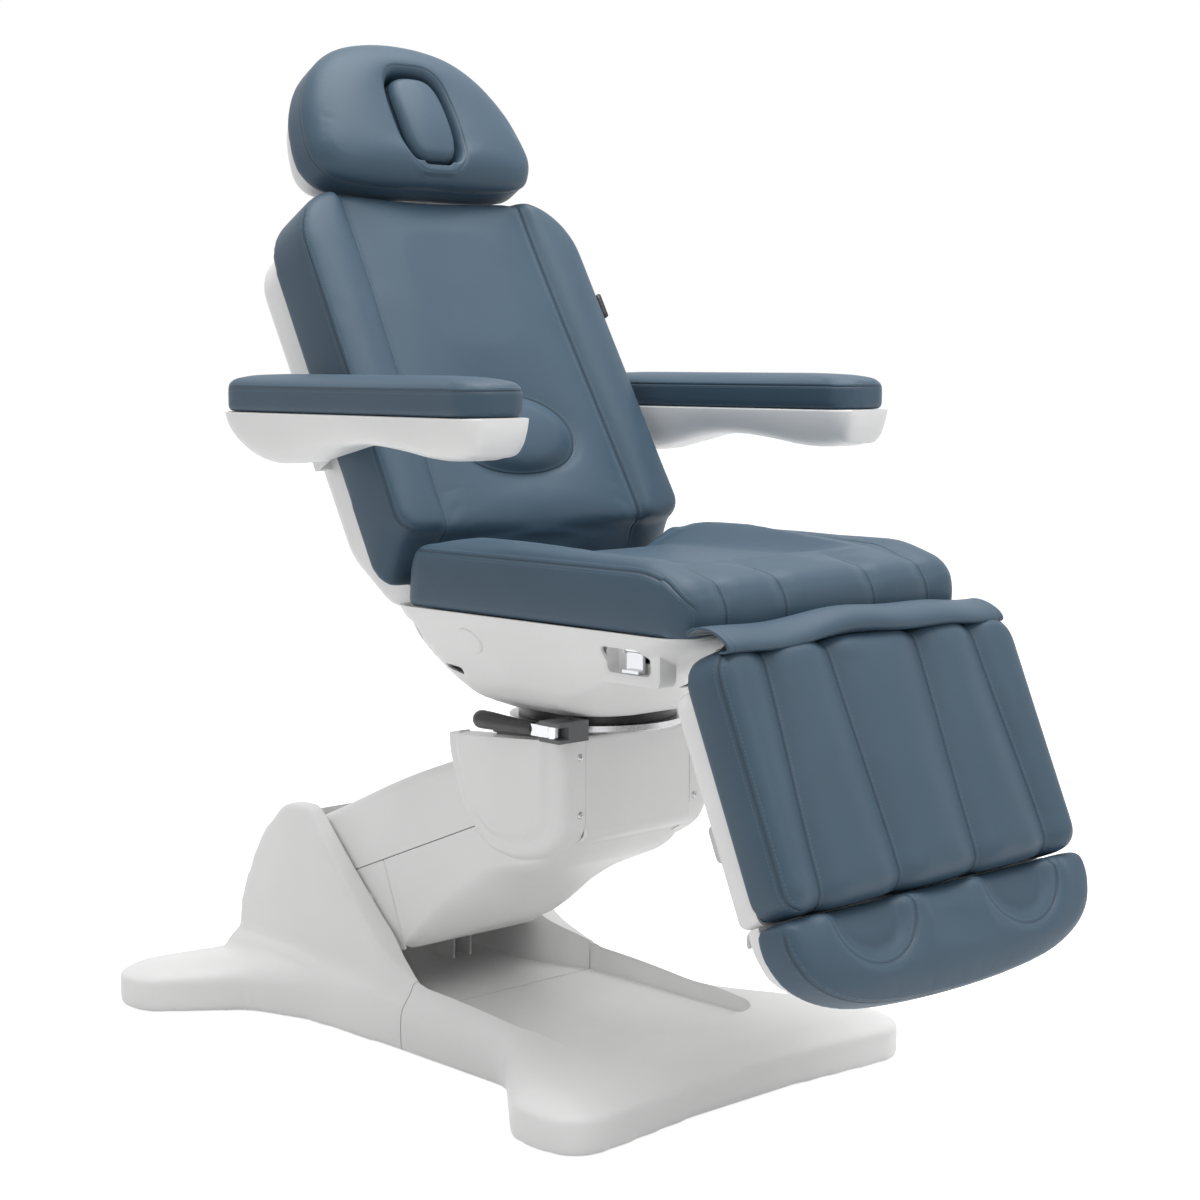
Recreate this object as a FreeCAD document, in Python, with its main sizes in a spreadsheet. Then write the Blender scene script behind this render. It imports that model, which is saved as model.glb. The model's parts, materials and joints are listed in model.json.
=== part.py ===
# Electric treatment table: a reclining upholstered chair on a lift arm and a moulded base.
# Millimetres, +Z up, the floor is Z = 0, the swivel axis is X = Y = 0 and the sitter faces -Y.
import FreeCAD, Part
import math
import os
import Sketcher

SIZES = {
    # Lift: the arm from its pivot in the base to its pivot in the head, and the link below it.
    "head_pivot_y": 42.1, "head_pivot_z": 385.73, "arm_long": 470, "arm_angle": 21.3,
    "link_back": 60, "link_drop": 50, "shaft_radius": 12, "link_shaft_radius": 8, "running_gap": 0.3,
    # Base covers.
    "floor_gap": 0, "toe_high": 64, "slab_high": 95, "split_y": 200, "seam_gap": 1, "waist_x": 200,
    "waist_end": -30, "front_foot_x": 330, "front_foot_back": -190, "front_y": -318, "front_mid": -292,
    "rear_flare_x": 245, "rear_foot_x": 372, "foot_round": 55, "flare_round": 70, "top_round": 20,
    "cover_wall": 6,
    "cavity_top": 42, "recess_x": 171, "recess_front": -165, "recess_floor": 54, "recess_round": 45,
    # Hump of the rear cover, with a cheek each side of the arm.
    "cheek_inner": 133, "hump_x": 153, "hump_flare": 34, "hump_toe_z": 123, "hump_round": 30,
    "arm_sweep": 99,
    # Steel frame in the base.
    "frame_floor": 12, "tube_high": 30, "tube_wide": 40, "rail_x": 105, "front_tube_y": -250,
    "front_tube_x": 285, "rear_tube_x": 330, "post_x": 70, "post_wide": 36,
    "post_deep": 60, "post_wall": 3, "tower_x": 139, "tower_thick": 7, "tower_deep": 90, "tower_round": 30,
    "pad_radius": 24, "pad_high": 7, "stem_radius": 6, "box_x": 85,
    "inlet_x": 26, "inlet_z": 24, "inlet_high": 22, "inlet_deep": 22,
    # Lift arm and its covers.
    "plate_x": 97, "plate_thick": 7, "plate_radius": 32, "brace_radius": 13, "brace_one": 150,
    "brace_rise": 14, "arm_x": 128, "arm_wall": 4, "arm_top": 77, "arm_seam": -21, "arm_belly": -158,
    "arm_tail": 45, "belly_start": 60, "arm_round": 22,
    "belly_round": 11, "nose_radius": 117, "link_wide": 28, "link_high": 30, "link_wall": 3,
    # Lift drive.
    "motor_radius": 30, "motor_long": 230, "rod_radius": 13, "rod_open": 12, "drive_boss": 20,
    # Head on the arm.
    "head_front": -84, "head_rear": 172, "head_top": 483, "head_bottom": 318, "head_low_y": 40,
    "head_low_z": 296, "head_x": 152, "head_inner": 131, "head_seam_x": 100, "head_wall": 4,
    "head_round": 34, "cheek_round": 14, "head_plate_x": 109, "head_plate_thick": 7, "top_plate": 8,
    "table_radius": 125, "table_thick": 10, "table_top": 497, "spacer_radius": 60, "drum_radius": 112,
    "drum_top": 530, "hub_radius": 25, "drum_lift": 0.4, "screw_x": 110, "screw_low": 376,
    "screw_high": 456,
    "screw_radius": 5.5,
    # Swivel brake.
    "brake_y": -86, "brake_wide": 34, "brake_deep": 40, "brake_top": 511,
    "grip_radius": 13, "grip_neck": 9, "grip_long": 118, "grip_start": 38, "lever_gap": 1,
    # Seat.
    "pan_floor": 512, "pan_top": 659, "pan_wall": 5, "pan_x": 262, "pan_front": -428, "pan_rear": 144,
    "pan_waist_x": 226, "pan_waist_z": 602, "pan_waist_front": -350, "bowl_x": 178, "bowl_z": 548,
    "bowl_front": -225, "bowl_rear": 134, "keel_x": 124, "keel_front": -130, "keel_rear": 102,
    "pan_hole": 116, "latch_front": -356, "latch_rear": -266, "latch_low": 602, "latch_high": 642,
    "cap_radius": 21, "cap_x": 237.4, "cap_tilt": 32, "cap_y": -7, "cap_z": 620, "seat_rail_x": 165,
    "seat_rail_wide": 30,
    "seat_rail_low": 620, "seat_rail_high": 659, "seat_top": 748, "seat_x": 262, "seat_front": -438,
    "seat_rear": 118, "seat_slope": 92, "seat_edge": 38, "pad_gap": 0.4,
    # Back, with its own origin on the hinge.
    "back_pivot_y": 135, "back_pivot_z": 640, "back_angle": 60.8, "back_x": 262, "back_low_x": 268,
    "back_start": 44, "back_end": 618, "back_thick": 100, "back_edge": 30, "back_corner": 75,
    "back_heel": 62, "shell_x": 250, "shell_deep": 72, "shell_start": 30, "shell_end": 606,
    "shell_step": 100, "shell_wall": 4, "back_tube_x": 205, "back_tube_wide": 24, "back_tube_top": 0,
    "back_tube_low": -36, "hinge_pin": 8, "hinge_x": 190, "hinge_wide": 12, "hinge_radius": 22,
    "drive_x": 113, "drive_level": 596, "drive_radius": 18, "drive_rod": 10, "rod_side": 95,
    "rod_clear": 0.3, "latch_x": 222, "slot_half": 6.8,
    "drive_pin": 4.5, "lever_thick": 8, "lever_wall": 6, "lever_top": 10.5, "back_pin_y": 157.3,
    "leg_pin_y": -402.9,
    # Headrest on a sliding bracket.
    "guide_x": 34, "guide_wall": 4, "bracket_x": 30, "bracket_thick": 8, "bracket_low": 420,
    "bracket_high": 700, "bracket_n": -34, "head_hinge": 690, "head_start": 626, "head_end": 892,
    "head_half": 206, "head_brow": 120, "head_base": 150, "head_flank": 74, "head_crown": 70,
    "head_shell_low": 12, "head_shell_high": 48, "head_thick_top": 136, "shell_inset": 14,
    "plug_x": 48, "plug_long": 146, "plug_at": 750, "plug_thick": 70, "plug_gap": 0.4, "plug_cap": 10,
    # Armrests on brackets beside the back.
    "rest_x": 344, "rest_wide": 104, "rest_front": -205, "rest_rear": 350, "rest_part": 922,
    "rest_top": 970, "rest_edge": 14, "rest_rear_dip": 852, "rest_mid_dip": 882, "rest_front_dip": 868,
    "rest_rear_y": 213, "rest_mid_y": 33, "rest_front_y": -135, "rest_pivot_s": 262, "rest_pivot_n": 20,
    "rest_boss": 20, "rest_pin": 9, "stay_x": 272, "stay_thick": 5, "stay_wide": 34,
    # Leg section, with its own origin on the hinge.
    "leg_pivot_y": -435, "leg_pivot_z": 652, "leg_angle": 66.8, "leg_x": 284, "leg_start": 15,
    "leg_end": 340, "leg_thick": 70, "leg_edge": 22, "leg_corner": 30, "leg_shell_x": 270,
    "leg_shell_deep": 44, "leg_shell_start": 48, "leg_shell_end": 334, "leg_rail_x": 120,
    "leg_rail_wide": 24, "leg_rail_top": 0, "leg_rail_low": -32, "leg_hinge_x": 150,
    # Sliding foot section.
    "foot_x": 288, "foot_start": 346, "foot_side": 372, "foot_end": 470, "foot_thick": 60,
    "foot_bend": 150, "foot_shell_low": -30, "foot_bar_wide": 14, "foot_bar_start": 110,
    "paddle_s": 231, "paddle_x": 240, "paddle_wide": 34, "paddle_long": 46, "paddle_thick": 9,
    # Strip of upholstery cloth between the seat and the leg section.
    "flap_x": 266, "flap_radius": 3.8, "flap_thick": 2.4, "flap_y": -442.2, "flap_z": 690,
}

# Sizes that follow from others: the base stands where the arm ends, and covers follow their frames.
LINKED = {
    "pivot_y": "head_pivot_y + arm_long * cos(arm_angle)",
    "pivot_z": "head_pivot_z - arm_long * sin(arm_angle)",
    "rear_flare_y": "pivot_y + 40", "rear_foot_front": "pivot_y + 145", "rear_y": "pivot_y + 255",
    "rear_mid": "pivot_y + 225", "rear_tube_y": "pivot_y + 180", "box_front": "pivot_y + 40",
    "box_rear": "pivot_y + 145", "hump_top": "pivot_z + 97", "hump_top_front": "pivot_y + 5",
    "hump_top_rear": "pivot_y + 42", "hump_mid_y": "pivot_y + 123", "hump_mid_z": "pivot_z",
    "hump_rear_y": "pivot_y + 212", "hump_toe_y": "pivot_y - 202", "brace_two": "arm_long - 120",
    "upper_end": "arm_long - 72", "belly_end": "arm_long - 50",
    "brake_x": "-table_radius - 27", "head_wide_at": "head_start + head_flank",
}

doc = FreeCAD.newDocument("treatment_table")
sheet = doc.addObject("Spreadsheet::Sheet", "Sizes")
cells = {alias: str(number) for alias, number in SIZES.items()}
cells.update({alias: "=" + formula for alias, formula in LINKED.items()})
for row, alias in enumerate(cells, start=1):
    sheet.set(f"A{row}", alias)
    sheet.setAlias(f"B{row}", alias)
for row, content in enumerate(cells.values(), start=1):
    sheet.set(f"B{row}", content)
doc.recompute()


class Dim:
    """A size that carries its number and the sheet expression that gives it."""

    def __init__(self, value, text):
        self.value = value
        self.text = text

    def __add__(self, other):
        other = dim(other)
        return Dim(self.value + other.value, f"({self.text} + {other.text})")

    def __sub__(self, other):
        other = dim(other)
        return Dim(self.value - other.value, f"({self.text} - {other.text})")

    def __mul__(self, other):
        other = dim(other)
        return Dim(self.value * other.value, f"({self.text} * {other.text})")

    def __truediv__(self, other):
        other = dim(other)
        return Dim(self.value / other.value, f"({self.text} / {other.text})")

    def __rsub__(self, other):
        return dim(other) - self

    def __neg__(self):
        return dim(0) - self

    __radd__ = __add__
    __rmul__ = __mul__


def dim(thing):
    """A plain number as a Dim."""
    if isinstance(thing, Dim):
        return thing
    return Dim(float(thing), f"({thing:.6g})")


def sine(angle):
    return Dim(math.sin(math.radians(angle.value)), f"sin({angle.text} * 1 deg)")


def cosine(angle):
    return Dim(math.cos(math.radians(angle.value)), f"cos({angle.text} * 1 deg)")


class Sheet:
    """Reads a size of the sheet by its alias."""

    def __getattr__(self, name):
        return Dim(float(sheet.get(name)), f"Sizes.{name}")


s = Sheet()
AXIS_TURN = {"x": ((0, 1, 0), 90), "y": ((-1, 0, 0), 90), "z": ((0, 0, 1), 0)}
nodes = []


def bind(thing, sizes):
    """Ties properties to expressions over the sheet."""
    for path, size in sizes.items():
        thing.setExpression(path, dim(size).text)


def place(thing, x=0, y=0, z=0, turn=None, axis=(1, 0, 0)):
    """Puts a piece at a point, turned about an axis through its own origin."""
    base = FreeCAD.Vector(dim(x).value, dim(y).value, dim(z).value)
    angle = 0 if turn is None else dim(turn).value
    thing.Placement = FreeCAD.Placement(base, FreeCAD.Rotation(FreeCAD.Vector(*axis), angle))
    bind(thing, {"Placement.Base.x": x, "Placement.Base.y": y, "Placement.Base.z": z})
    if isinstance(turn, Dim):
        bind(thing, {"Placement.Rotation.Angle": turn})


def node(thing, label, *spot):
    """Names a finished piece and, where it has its own frame, puts that frame in the assembly."""
    thing.Label = label
    if spot:
        place(thing, *spot)
    nodes.append(thing)
    return thing


def box(x0, x1, y0, y1, z0, z1):
    block = doc.addObject("Part::Box", "block")
    bind(block, {"Length": dim(x1) - x0, "Width": dim(y1) - y0, "Height": dim(z1) - z0})
    place(block, x0, y0, z0)
    return block


def bar(axis, x, y, z, radius, start, end):
    """A round bar along an axis, from start to end on that axis."""
    turn_axis, turn = AXIS_TURN[axis]
    cylinder = doc.addObject("Part::Cylinder", "bar")
    bind(cylinder, {"Radius": radius, "Height": dim(end) - start})
    spot = {"x": x, "y": y, "z": z}
    spot[axis] = start
    place(cylinder, spot["x"], spot["y"], spot["z"], turn, turn_axis)
    return cylinder


def fuse(*pieces):
    joined = doc.addObject("Part::MultiFuse", "joined")
    joined.Shapes = list(pieces)
    return joined


def cut(base, *tools):
    trimmed = doc.addObject("Part::Cut", "trimmed")
    trimmed.Base = base
    trimmed.Tool = tools[0] if len(tools) == 1 else fuse(*tools)
    return trimmed


def group(*pieces):
    together = doc.addObject("Part::Compound", "group")
    together.Links = list(pieces)
    return together


def span(side, low, high):
    """An interval on the right (+1) or mirrored to the left (-1)."""
    return (dim(low), dim(high)) if side > 0 else (-dim(high), -dim(low))


def new_body(name):
    return doc.addObject("PartDesign::Body", name)


def corner_arc(before, corner, after, radius):
    """Start, end and arc of a rounded corner, with the arc's turning sense."""
    into = (corner - before).normalize()
    out = (after - corner).normalize()
    turn = math.atan2(into.x * out.y - into.y * out.x, into.dot(out))
    reach = radius * math.tan(abs(turn) / 2)
    start = corner - into * reach
    end = corner + out * reach
    left = 1 if turn > 0 else -1
    centre = start + FreeCAD.Vector(-into.y, into.x, 0) * (radius * left)
    circle = Part.Circle(centre, FreeCAD.Vector(0, 0, 1), radius)
    first, last = (start, end) if left > 0 else (end, start)
    angles = [math.atan2(p.y - centre.y, p.x - centre.x) for p in (first, last)]
    return start, end, Part.ArcOfCircle(circle, angles[0], angles[1]), left


def profile(body, plane, corners, offset=0):
    """A closed sketch through corners (across, up) or (across, up, radius), tied to the sheet."""
    sketch = body.newObject("Sketcher::SketchObject", "profile")
    role = f"{plane}_Plane"
    origin_plane = [part for part in body.Origin.OriginFeatures if part.Role == role][0]
    sketch.AttachmentSupport = [(origin_plane, "")]
    sketch.MapMode = "FlatFace"
    bind(sketch, {"AttachmentOffset.Base.z": offset})
    count = len(corners)
    spots = [FreeCAD.Vector(dim(c[0]).value, dim(c[1]).value, 0) for c in corners]
    ends = []
    arcs = []
    for i, corner in enumerate(corners):
        rounded = len(corner) > 2
        if rounded:
            start, end, arc, left = corner_arc(spots[i - 1], spots[i], spots[(i + 1) % count],
                                               dim(corner[2]).value)
            ends.append((start, end))
            arcs.append((arc, left))
        else:
            ends.append((spots[i], spots[i]))
            arcs.append(None)
    for i in range(count):
        sketch.addGeometry(Part.LineSegment(ends[i][1], ends[(i + 1) % count][0]), False)

    def drive(constraint, size):
        index = sketch.addConstraint(constraint)
        sketch.setExpression(f"Constraints[{index}]", dim(size).text)

    for i, corner in enumerate(corners):
        before = (i - 1) % count
        if arcs[i] is None:
            sketch.addConstraint(Sketcher.Constraint("Coincident", before, 2, i, 1))
            drive(Sketcher.Constraint("DistanceX", i, 1, spots[i].x), corner[0])
            drive(Sketcher.Constraint("DistanceY", i, 1, spots[i].y), corner[1])
            continue
        arc, left = arcs[i]
        bend = sketch.addGeometry(arc, False)
        first, last = (1, 2) if left > 0 else (2, 1)
        sketch.addConstraint(Sketcher.Constraint("Tangent", before, 2, bend, first))
        sketch.addConstraint(Sketcher.Constraint("Tangent", bend, last, i, 1))
        drive(Sketcher.Constraint("Radius", bend, dim(corner[2]).value), corner[2])
        mark = sketch.addGeometry(Part.Point(spots[i]), True)
        sketch.addConstraint(Sketcher.Constraint("PointOnObject", mark, 1, before))
        sketch.addConstraint(Sketcher.Constraint("PointOnObject", mark, 1, i))
        drive(Sketcher.Constraint("DistanceX", mark, 1, spots[i].x), corner[0])
        drive(Sketcher.Constraint("DistanceY", mark, 1, spots[i].y), corner[1])
    return sketch


def extrude(body, plane, corners, start, end, kind="PartDesign::Pad"):
    """Pads or pockets an outline between two stations along the plane's own axis."""
    start, end = dim(start), dim(end)
    offset = -end if plane == "XZ" else start
    sketch = profile(body, plane, corners, offset)
    feature = body.newObject(kind, "extrusion")
    feature.Profile = sketch
    bind(feature, {"Length": end - start})
    feature.Reversed = kind == "PartDesign::Pocket"
    doc.recompute()
    return feature


def pocket(body, plane, corners, start, end):
    before = body.Tip.Shape.Volume
    feature = extrude(body, plane, corners, start, end, "PartDesign::Pocket")
    if feature.Shape.Volume >= before:
        raise ValueError(f"a pocket in {body.Name} removes nothing")
    return feature


def round_edges(body, radius, chosen):
    """Rounds the edges of the latest feature that the test picks."""
    base = body.Tip
    names = [f"Edge{i}" for i, edge in enumerate(base.Shape.Edges, start=1) if chosen(edge)]
    fillet = body.newObject("PartDesign::Fillet", "rounding")
    fillet.Base = (base, names)
    bind(fillet, {"Radius": radius})
    doc.recompute()
    return fillet


def at_level(axis, level, slack=0.5):
    """A test for edges that lie wholly in a plane across an axis."""
    index = "xyz".index(axis)

    def chosen(edge):
        low = (edge.BoundBox.XMin, edge.BoundBox.YMin, edge.BoundBox.ZMin)[index]
        high = (edge.BoundBox.XMax, edge.BoundBox.YMax, edge.BoundBox.ZMax)[index]
        return abs(low - level.value) < slack and abs(high - level.value) < slack
    return chosen


def mirrored(half):
    """A closed outline from its right half, listed from the lower middle upwards."""
    left = [(-dim(c[0]),) + tuple(c[1:]) for c in reversed(half) if dim(c[0]).value != 0]
    return list(half) + left


def lofted(body, sections, kind="PartDesign::AdditiveLoft"):
    """A loft through level sections (height, corners)."""
    sketches = [profile(body, "XY", corners, height) for height, corners in sections]
    loft = body.newObject(kind, "loft")
    loft.Profile = sketches[0]
    loft.Sections = sketches[1:]
    doc.recompute()
    return loft


def rectangle(x0, x1, y0, y1, radius=None):
    tail = () if radius is None else (radius,)
    return [(x0, y0) + tail, (x1, y0) + tail, (x1, y1) + tail, (x0, y1) + tail]


def revolved(name, corners):
    """A piece turned about Z from its half section (radius, height)."""
    body = new_body(name)
    sketch = profile(body, "XZ", corners)
    turned = body.newObject("PartDesign::Revolution", "turned")
    turned.Profile = sketch
    turned.ReferenceAxis = (sketch, ["V_Axis"])
    turned.Angle = 360
    doc.recompute()
    return body


head_y = s.pivot_y - s.arm_long * cosine(s.arm_angle)
head_z = s.pivot_z + s.arm_long * sine(s.arm_angle)
link_y = s.pivot_y - s.link_back
link_z = s.pivot_z - s.link_drop
link_head_y = head_y - s.link_back
link_head_z = head_z - s.link_drop
shaft_bore = s.shaft_radius + s.running_gap
link_bore = s.link_shaft_radius + s.running_gap
hinge_bore = s.hinge_pin + s.running_gap


def make_front_cover():
    body = new_body("front_cover")
    edge = s.split_y - s.seam_gap
    outline = mirrored([
        (s.front_foot_x * 0.3, s.front_mid, s.flare_round), (s.front_foot_x, s.front_y, s.foot_round),
        (s.front_foot_x, s.front_foot_back, s.foot_round), (s.waist_x, s.waist_end, s.flare_round),
        (s.waist_x, edge)])
    extrude(body, "XY", outline, s.floor_gap, s.slab_high)
    slope = [(edge + 1, s.slab_high), (edge + 1, s.slab_high + 30), (s.front_y - 1, s.slab_high + 30),
             (s.front_y - 1, s.toe_high)]
    pocket(body, "YZ", slope, -s.front_foot_x - 1, s.front_foot_x + 1)

    def rim(edge_):
        middle = edge_.valueAt((edge_.FirstParameter + edge_.LastParameter) / 2)
        lift = (s.slab_high - s.toe_high).value * (middle.y - s.front_y.value) / (edge - s.front_y).value
        return abs(middle.z - s.toe_high.value - lift) < 2 and middle.y < edge.value - 1

    round_edges(body, s.top_round, rim)
    inner = s.cover_wall
    hollow = mirrored([
        (s.front_foot_x * 0.3, s.front_mid + inner),
        (s.front_foot_x - inner, s.front_y + inner, s.foot_round),
        (s.front_foot_x - inner, s.front_foot_back - inner, s.foot_round - inner),
        (s.waist_x - inner, s.waist_end - inner), (s.waist_x - inner, edge + 1)])
    pocket(body, "XY", hollow, -1, s.cavity_top)
    tray = [(-s.recess_x, s.recess_front, s.recess_round), (s.recess_x, s.recess_front, s.recess_round),
            (s.recess_x, edge + 1), (-s.recess_x, edge + 1)]
    pocket(body, "XY", tray, s.recess_floor, s.slab_high + 30)
    node(body, "front_base_cover")


def make_rear_cover():
    slab = new_body("rear_slab")
    half = [(s.waist_x, s.split_y), (s.rear_flare_x * 0.84, s.rear_flare_y - 120, s.flare_round),
            (s.rear_flare_x, s.rear_flare_y, s.flare_round),
            (s.rear_foot_x, s.rear_foot_front, s.foot_round),
            (s.rear_foot_x, s.rear_y, s.foot_round), (s.rear_foot_x * 0.5, s.rear_mid, s.flare_round)]
    extrude(slab, "XY", mirrored(half), s.floor_gap, s.slab_high)
    slope = [(s.split_y - 1, s.slab_high), (s.split_y - 1, s.slab_high + 30),
             (s.rear_y + 1, s.slab_high + 30),
             (s.rear_y + 1, s.toe_high)]
    pocket(slab, "YZ", slope, -s.rear_foot_x - 1, s.rear_foot_x + 1)

    def rim(edge):
        middle = edge.valueAt((edge.FirstParameter + edge.LastParameter) / 2)
        drop = (s.slab_high - s.toe_high).value * (middle.y - s.split_y.value) / (s.rear_y - s.split_y).value
        return abs(middle.z - s.slab_high.value + drop) < 2 and middle.y > s.split_y.value + 1

    round_edges(slab, s.top_round, rim)
    hump = new_body("hump")
    side = [(s.split_y, s.toe_high), (s.hump_rear_y, s.toe_high),
            (s.hump_mid_y, s.hump_mid_z, s.hump_round * 4),
            (s.hump_top_rear, s.hump_top, s.hump_round), (s.hump_top_front, s.hump_top, s.hump_round / 3),
            (s.hump_toe_y, s.hump_toe_z, s.hump_round * 3), (s.split_y, s.slab_high)]
    wide = s.hump_x + s.hump_flare
    extrude(hump, "YZ", side, -wide, wide)
    for sign in (1, -1):
        draft = [(sign * wide, s.toe_high), (sign * (wide + 20), s.toe_high),
                 (sign * (wide + 20), s.hump_top + 5),
                 (sign * s.hump_x, s.hump_top + 5)]
        pocket(hump, "XZ", draft, s.split_y - 1, s.rear_y)

    def shoulder(edge):
        middle = edge.valueAt((edge.FirstParameter + edge.LastParameter) / 2)
        return middle.z > s.slab_high.value + 10 and abs(middle.x) > s.hump_x.value - 5

    round_edges(hump, s.hump_round / 2, shoulder)
    tunnel = new_body("arm_slot")
    reach = s.hump_top + 60
    extrude(tunnel, "YZ", [(s.split_y - 2, s.recess_floor), (s.pivot_y, s.recess_floor), (s.pivot_y, reach),
                           (s.split_y - 2, reach)], -s.cheek_inner, s.cheek_inner)
    sweep = bar("x", 0, s.pivot_y, s.pivot_z, s.arm_sweep, -s.cheek_inner, s.cheek_inner)
    inner = s.cover_wall
    cavity = new_body("slab_cavity")
    inset = [(s.waist_x - inner, s.split_y - 2), (s.rear_flare_x * 0.84 - inner, s.rear_flare_y - 120),
             (s.rear_flare_x - inner, s.rear_flare_y + inner),
             (s.rear_foot_x - inner, s.rear_foot_front + inner),
             (s.rear_foot_x - inner, s.rear_y - inner, s.foot_round),
             (s.rear_foot_x * 0.5, s.rear_mid - inner)]
    extrude(cavity, "XY", mirrored(inset), -1, s.cavity_top)
    hollow = new_body("hump_cavity")
    low = s.cavity_top - 1
    extrude(hollow, "YZ", [(s.pivot_y + 4, low), (s.hump_rear_y - 12, low),
                           (s.hump_mid_y + 9, s.hump_mid_z - 35),
                           (s.hump_mid_y - 13, s.hump_mid_z - 35), (s.pivot_y + 95, s.pivot_z - 77),
                           (s.pivot_y + 65, s.pivot_z - 97), (s.pivot_y + 4, s.pivot_z - 107)],
            -s.hump_x + 8, s.hump_x - 8)
    tools = [tunnel, sweep, cavity, hollow]
    gap = 1
    for sign in (1, -1):
        x0, x1 = span(sign, s.tower_x - gap, s.tower_x + s.tower_thick + gap)
        tools.append(box(x0, x1, s.pivot_y - s.tower_deep / 2 - gap, s.pivot_y + s.tower_deep / 2 + gap,
                         s.cavity_top - 1, s.pivot_z + s.tower_round + gap))
        x0, x1 = span(sign, s.post_x - s.post_wide / 2 - gap * 4, s.post_x + s.post_wide / 2 + gap * 4)
        tools.append(box(x0, x1, link_y - s.post_deep, link_y + s.post_deep, s.cavity_top - 1,
                         s.recess_floor + 1))
    tools.append(bar("x", 0, s.pivot_y, s.pivot_z, s.shaft_radius + gap, -s.tower_x - gap, s.tower_x + gap))
    tools.append(box(-s.inlet_x - gap / 4, s.inlet_x + gap / 4, s.rear_mid - s.inlet_deep, s.rear_y,
                     s.inlet_z - gap / 4, s.inlet_z + s.inlet_high + gap / 4))
    node(cut(fuse(slab, hump), *tools), "rear_base_cover")


def make_base_frame():
    top = s.frame_floor + s.tube_high
    half = s.tube_wide / 2
    pieces = [box(-s.front_tube_x, s.front_tube_x, s.front_tube_y - half, s.front_tube_y + half,
                  s.frame_floor, top),
              box(-s.rear_tube_x, s.rear_tube_x, s.rear_tube_y - half, s.rear_tube_y + half, s.frame_floor,
                  top),
              box(-s.tower_x - s.tower_thick, s.tower_x + s.tower_thick, s.pivot_y - half, s.pivot_y + half,
                  s.frame_floor, top),
              box(-s.rail_x, s.rail_x, link_y - half, link_y + half, s.frame_floor, top)]
    bores = [bar("x", 0, s.pivot_y, s.pivot_z, s.shaft_radius, -s.waist_x, s.waist_x),
             bar("x", 0, link_y, link_z, s.link_shaft_radius, -s.rail_x, s.rail_x)]
    for sign in (1, -1):
        x0, x1 = span(sign, s.rail_x - half, s.rail_x + half)
        pieces.append(box(x0, x1, s.front_tube_y, s.rear_tube_y, s.frame_floor, top))
        x0, x1 = span(sign, s.tower_x, s.tower_x + s.tower_thick)
        tower = new_body("tower")
        deep = s.tower_deep / 2
        extrude(tower, "YZ", [(s.pivot_y - deep, top - 1), (s.pivot_y + deep, top - 1),
                              (s.pivot_y + s.tower_round + 2, s.pivot_z + s.tower_round, s.tower_round),
                              (s.pivot_y - s.tower_round - 2, s.pivot_z + s.tower_round, s.tower_round)],
                x0, x1)
        pieces.append(tower)
        post = new_body("post")
        out = s.post_wide / 2
        inside = out - s.post_wall
        rear = link_y + s.post_deep / 2
        front = link_y - s.post_deep / 2
        spot = sign * s.post_x
        extrude(post, "XY", [(spot - out, front), (spot - inside, front),
                             (spot - inside, rear - s.post_wall),
                             (spot + inside, rear - s.post_wall), (spot + inside, front),
                             (spot + out, front),
                             (spot + out, rear), (spot - out, rear)], top - 1, link_z + s.post_deep / 2)
        pieces.append(post)
    node(cut(fuse(*pieces), *bores), "base_frame")


def make_base_fittings():
    corners = [(s.front_tube_x - s.pad_radius, s.front_tube_y),
               (s.rear_tube_x - s.pad_radius, s.rear_tube_y)]
    feet = []
    for x, y in corners:
        for sign in (1, -1):
            foot = fuse(bar("z", sign * x, y, 0, s.pad_radius, 0, s.pad_high),
                        bar("z", sign * x, y, 0, s.stem_radius, s.pad_high - 1, s.frame_floor))
            feet.append(foot)
    node(group(*feet), "levelling_feet")
    top = s.frame_floor + s.tube_high
    node(box(-s.box_x, s.box_x, s.box_front, s.box_rear, s.frame_floor, top), "control_box")
    face = s.rear_mid + 1
    body = box(-s.inlet_x, s.inlet_x, s.rear_mid - s.inlet_deep, face, s.inlet_z, s.inlet_z + s.inlet_high)
    well = box(-s.inlet_x + 8, s.inlet_x - 8, s.rear_mid - s.inlet_deep / 2, face + 1, s.inlet_z + 5,
               s.inlet_z + s.inlet_high - 5)
    pins = [box(x - 1, x + 1, s.rear_mid - s.inlet_deep / 2 - 1, face - 4, s.inlet_z + 8, s.inlet_z + 14)
            for x in (-8, 0, 8)]
    node(fuse(cut(body, well), *pins), "mains_inlet")
    end = s.tower_x + s.tower_thick
    node(bar("x", 0, s.pivot_y, s.pivot_z, s.shaft_radius, -end, end), "arm_pivot_shaft")
    end = s.post_x + s.post_wide / 2
    node(bar("x", 0, link_y, link_z, s.link_shaft_radius, -end, end), "link_anchor_shaft")


def arm_node(thing, label):
    node(thing, label, 0, s.pivot_y, s.pivot_z, s.arm_angle, (-1, 0, 0))


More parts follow.
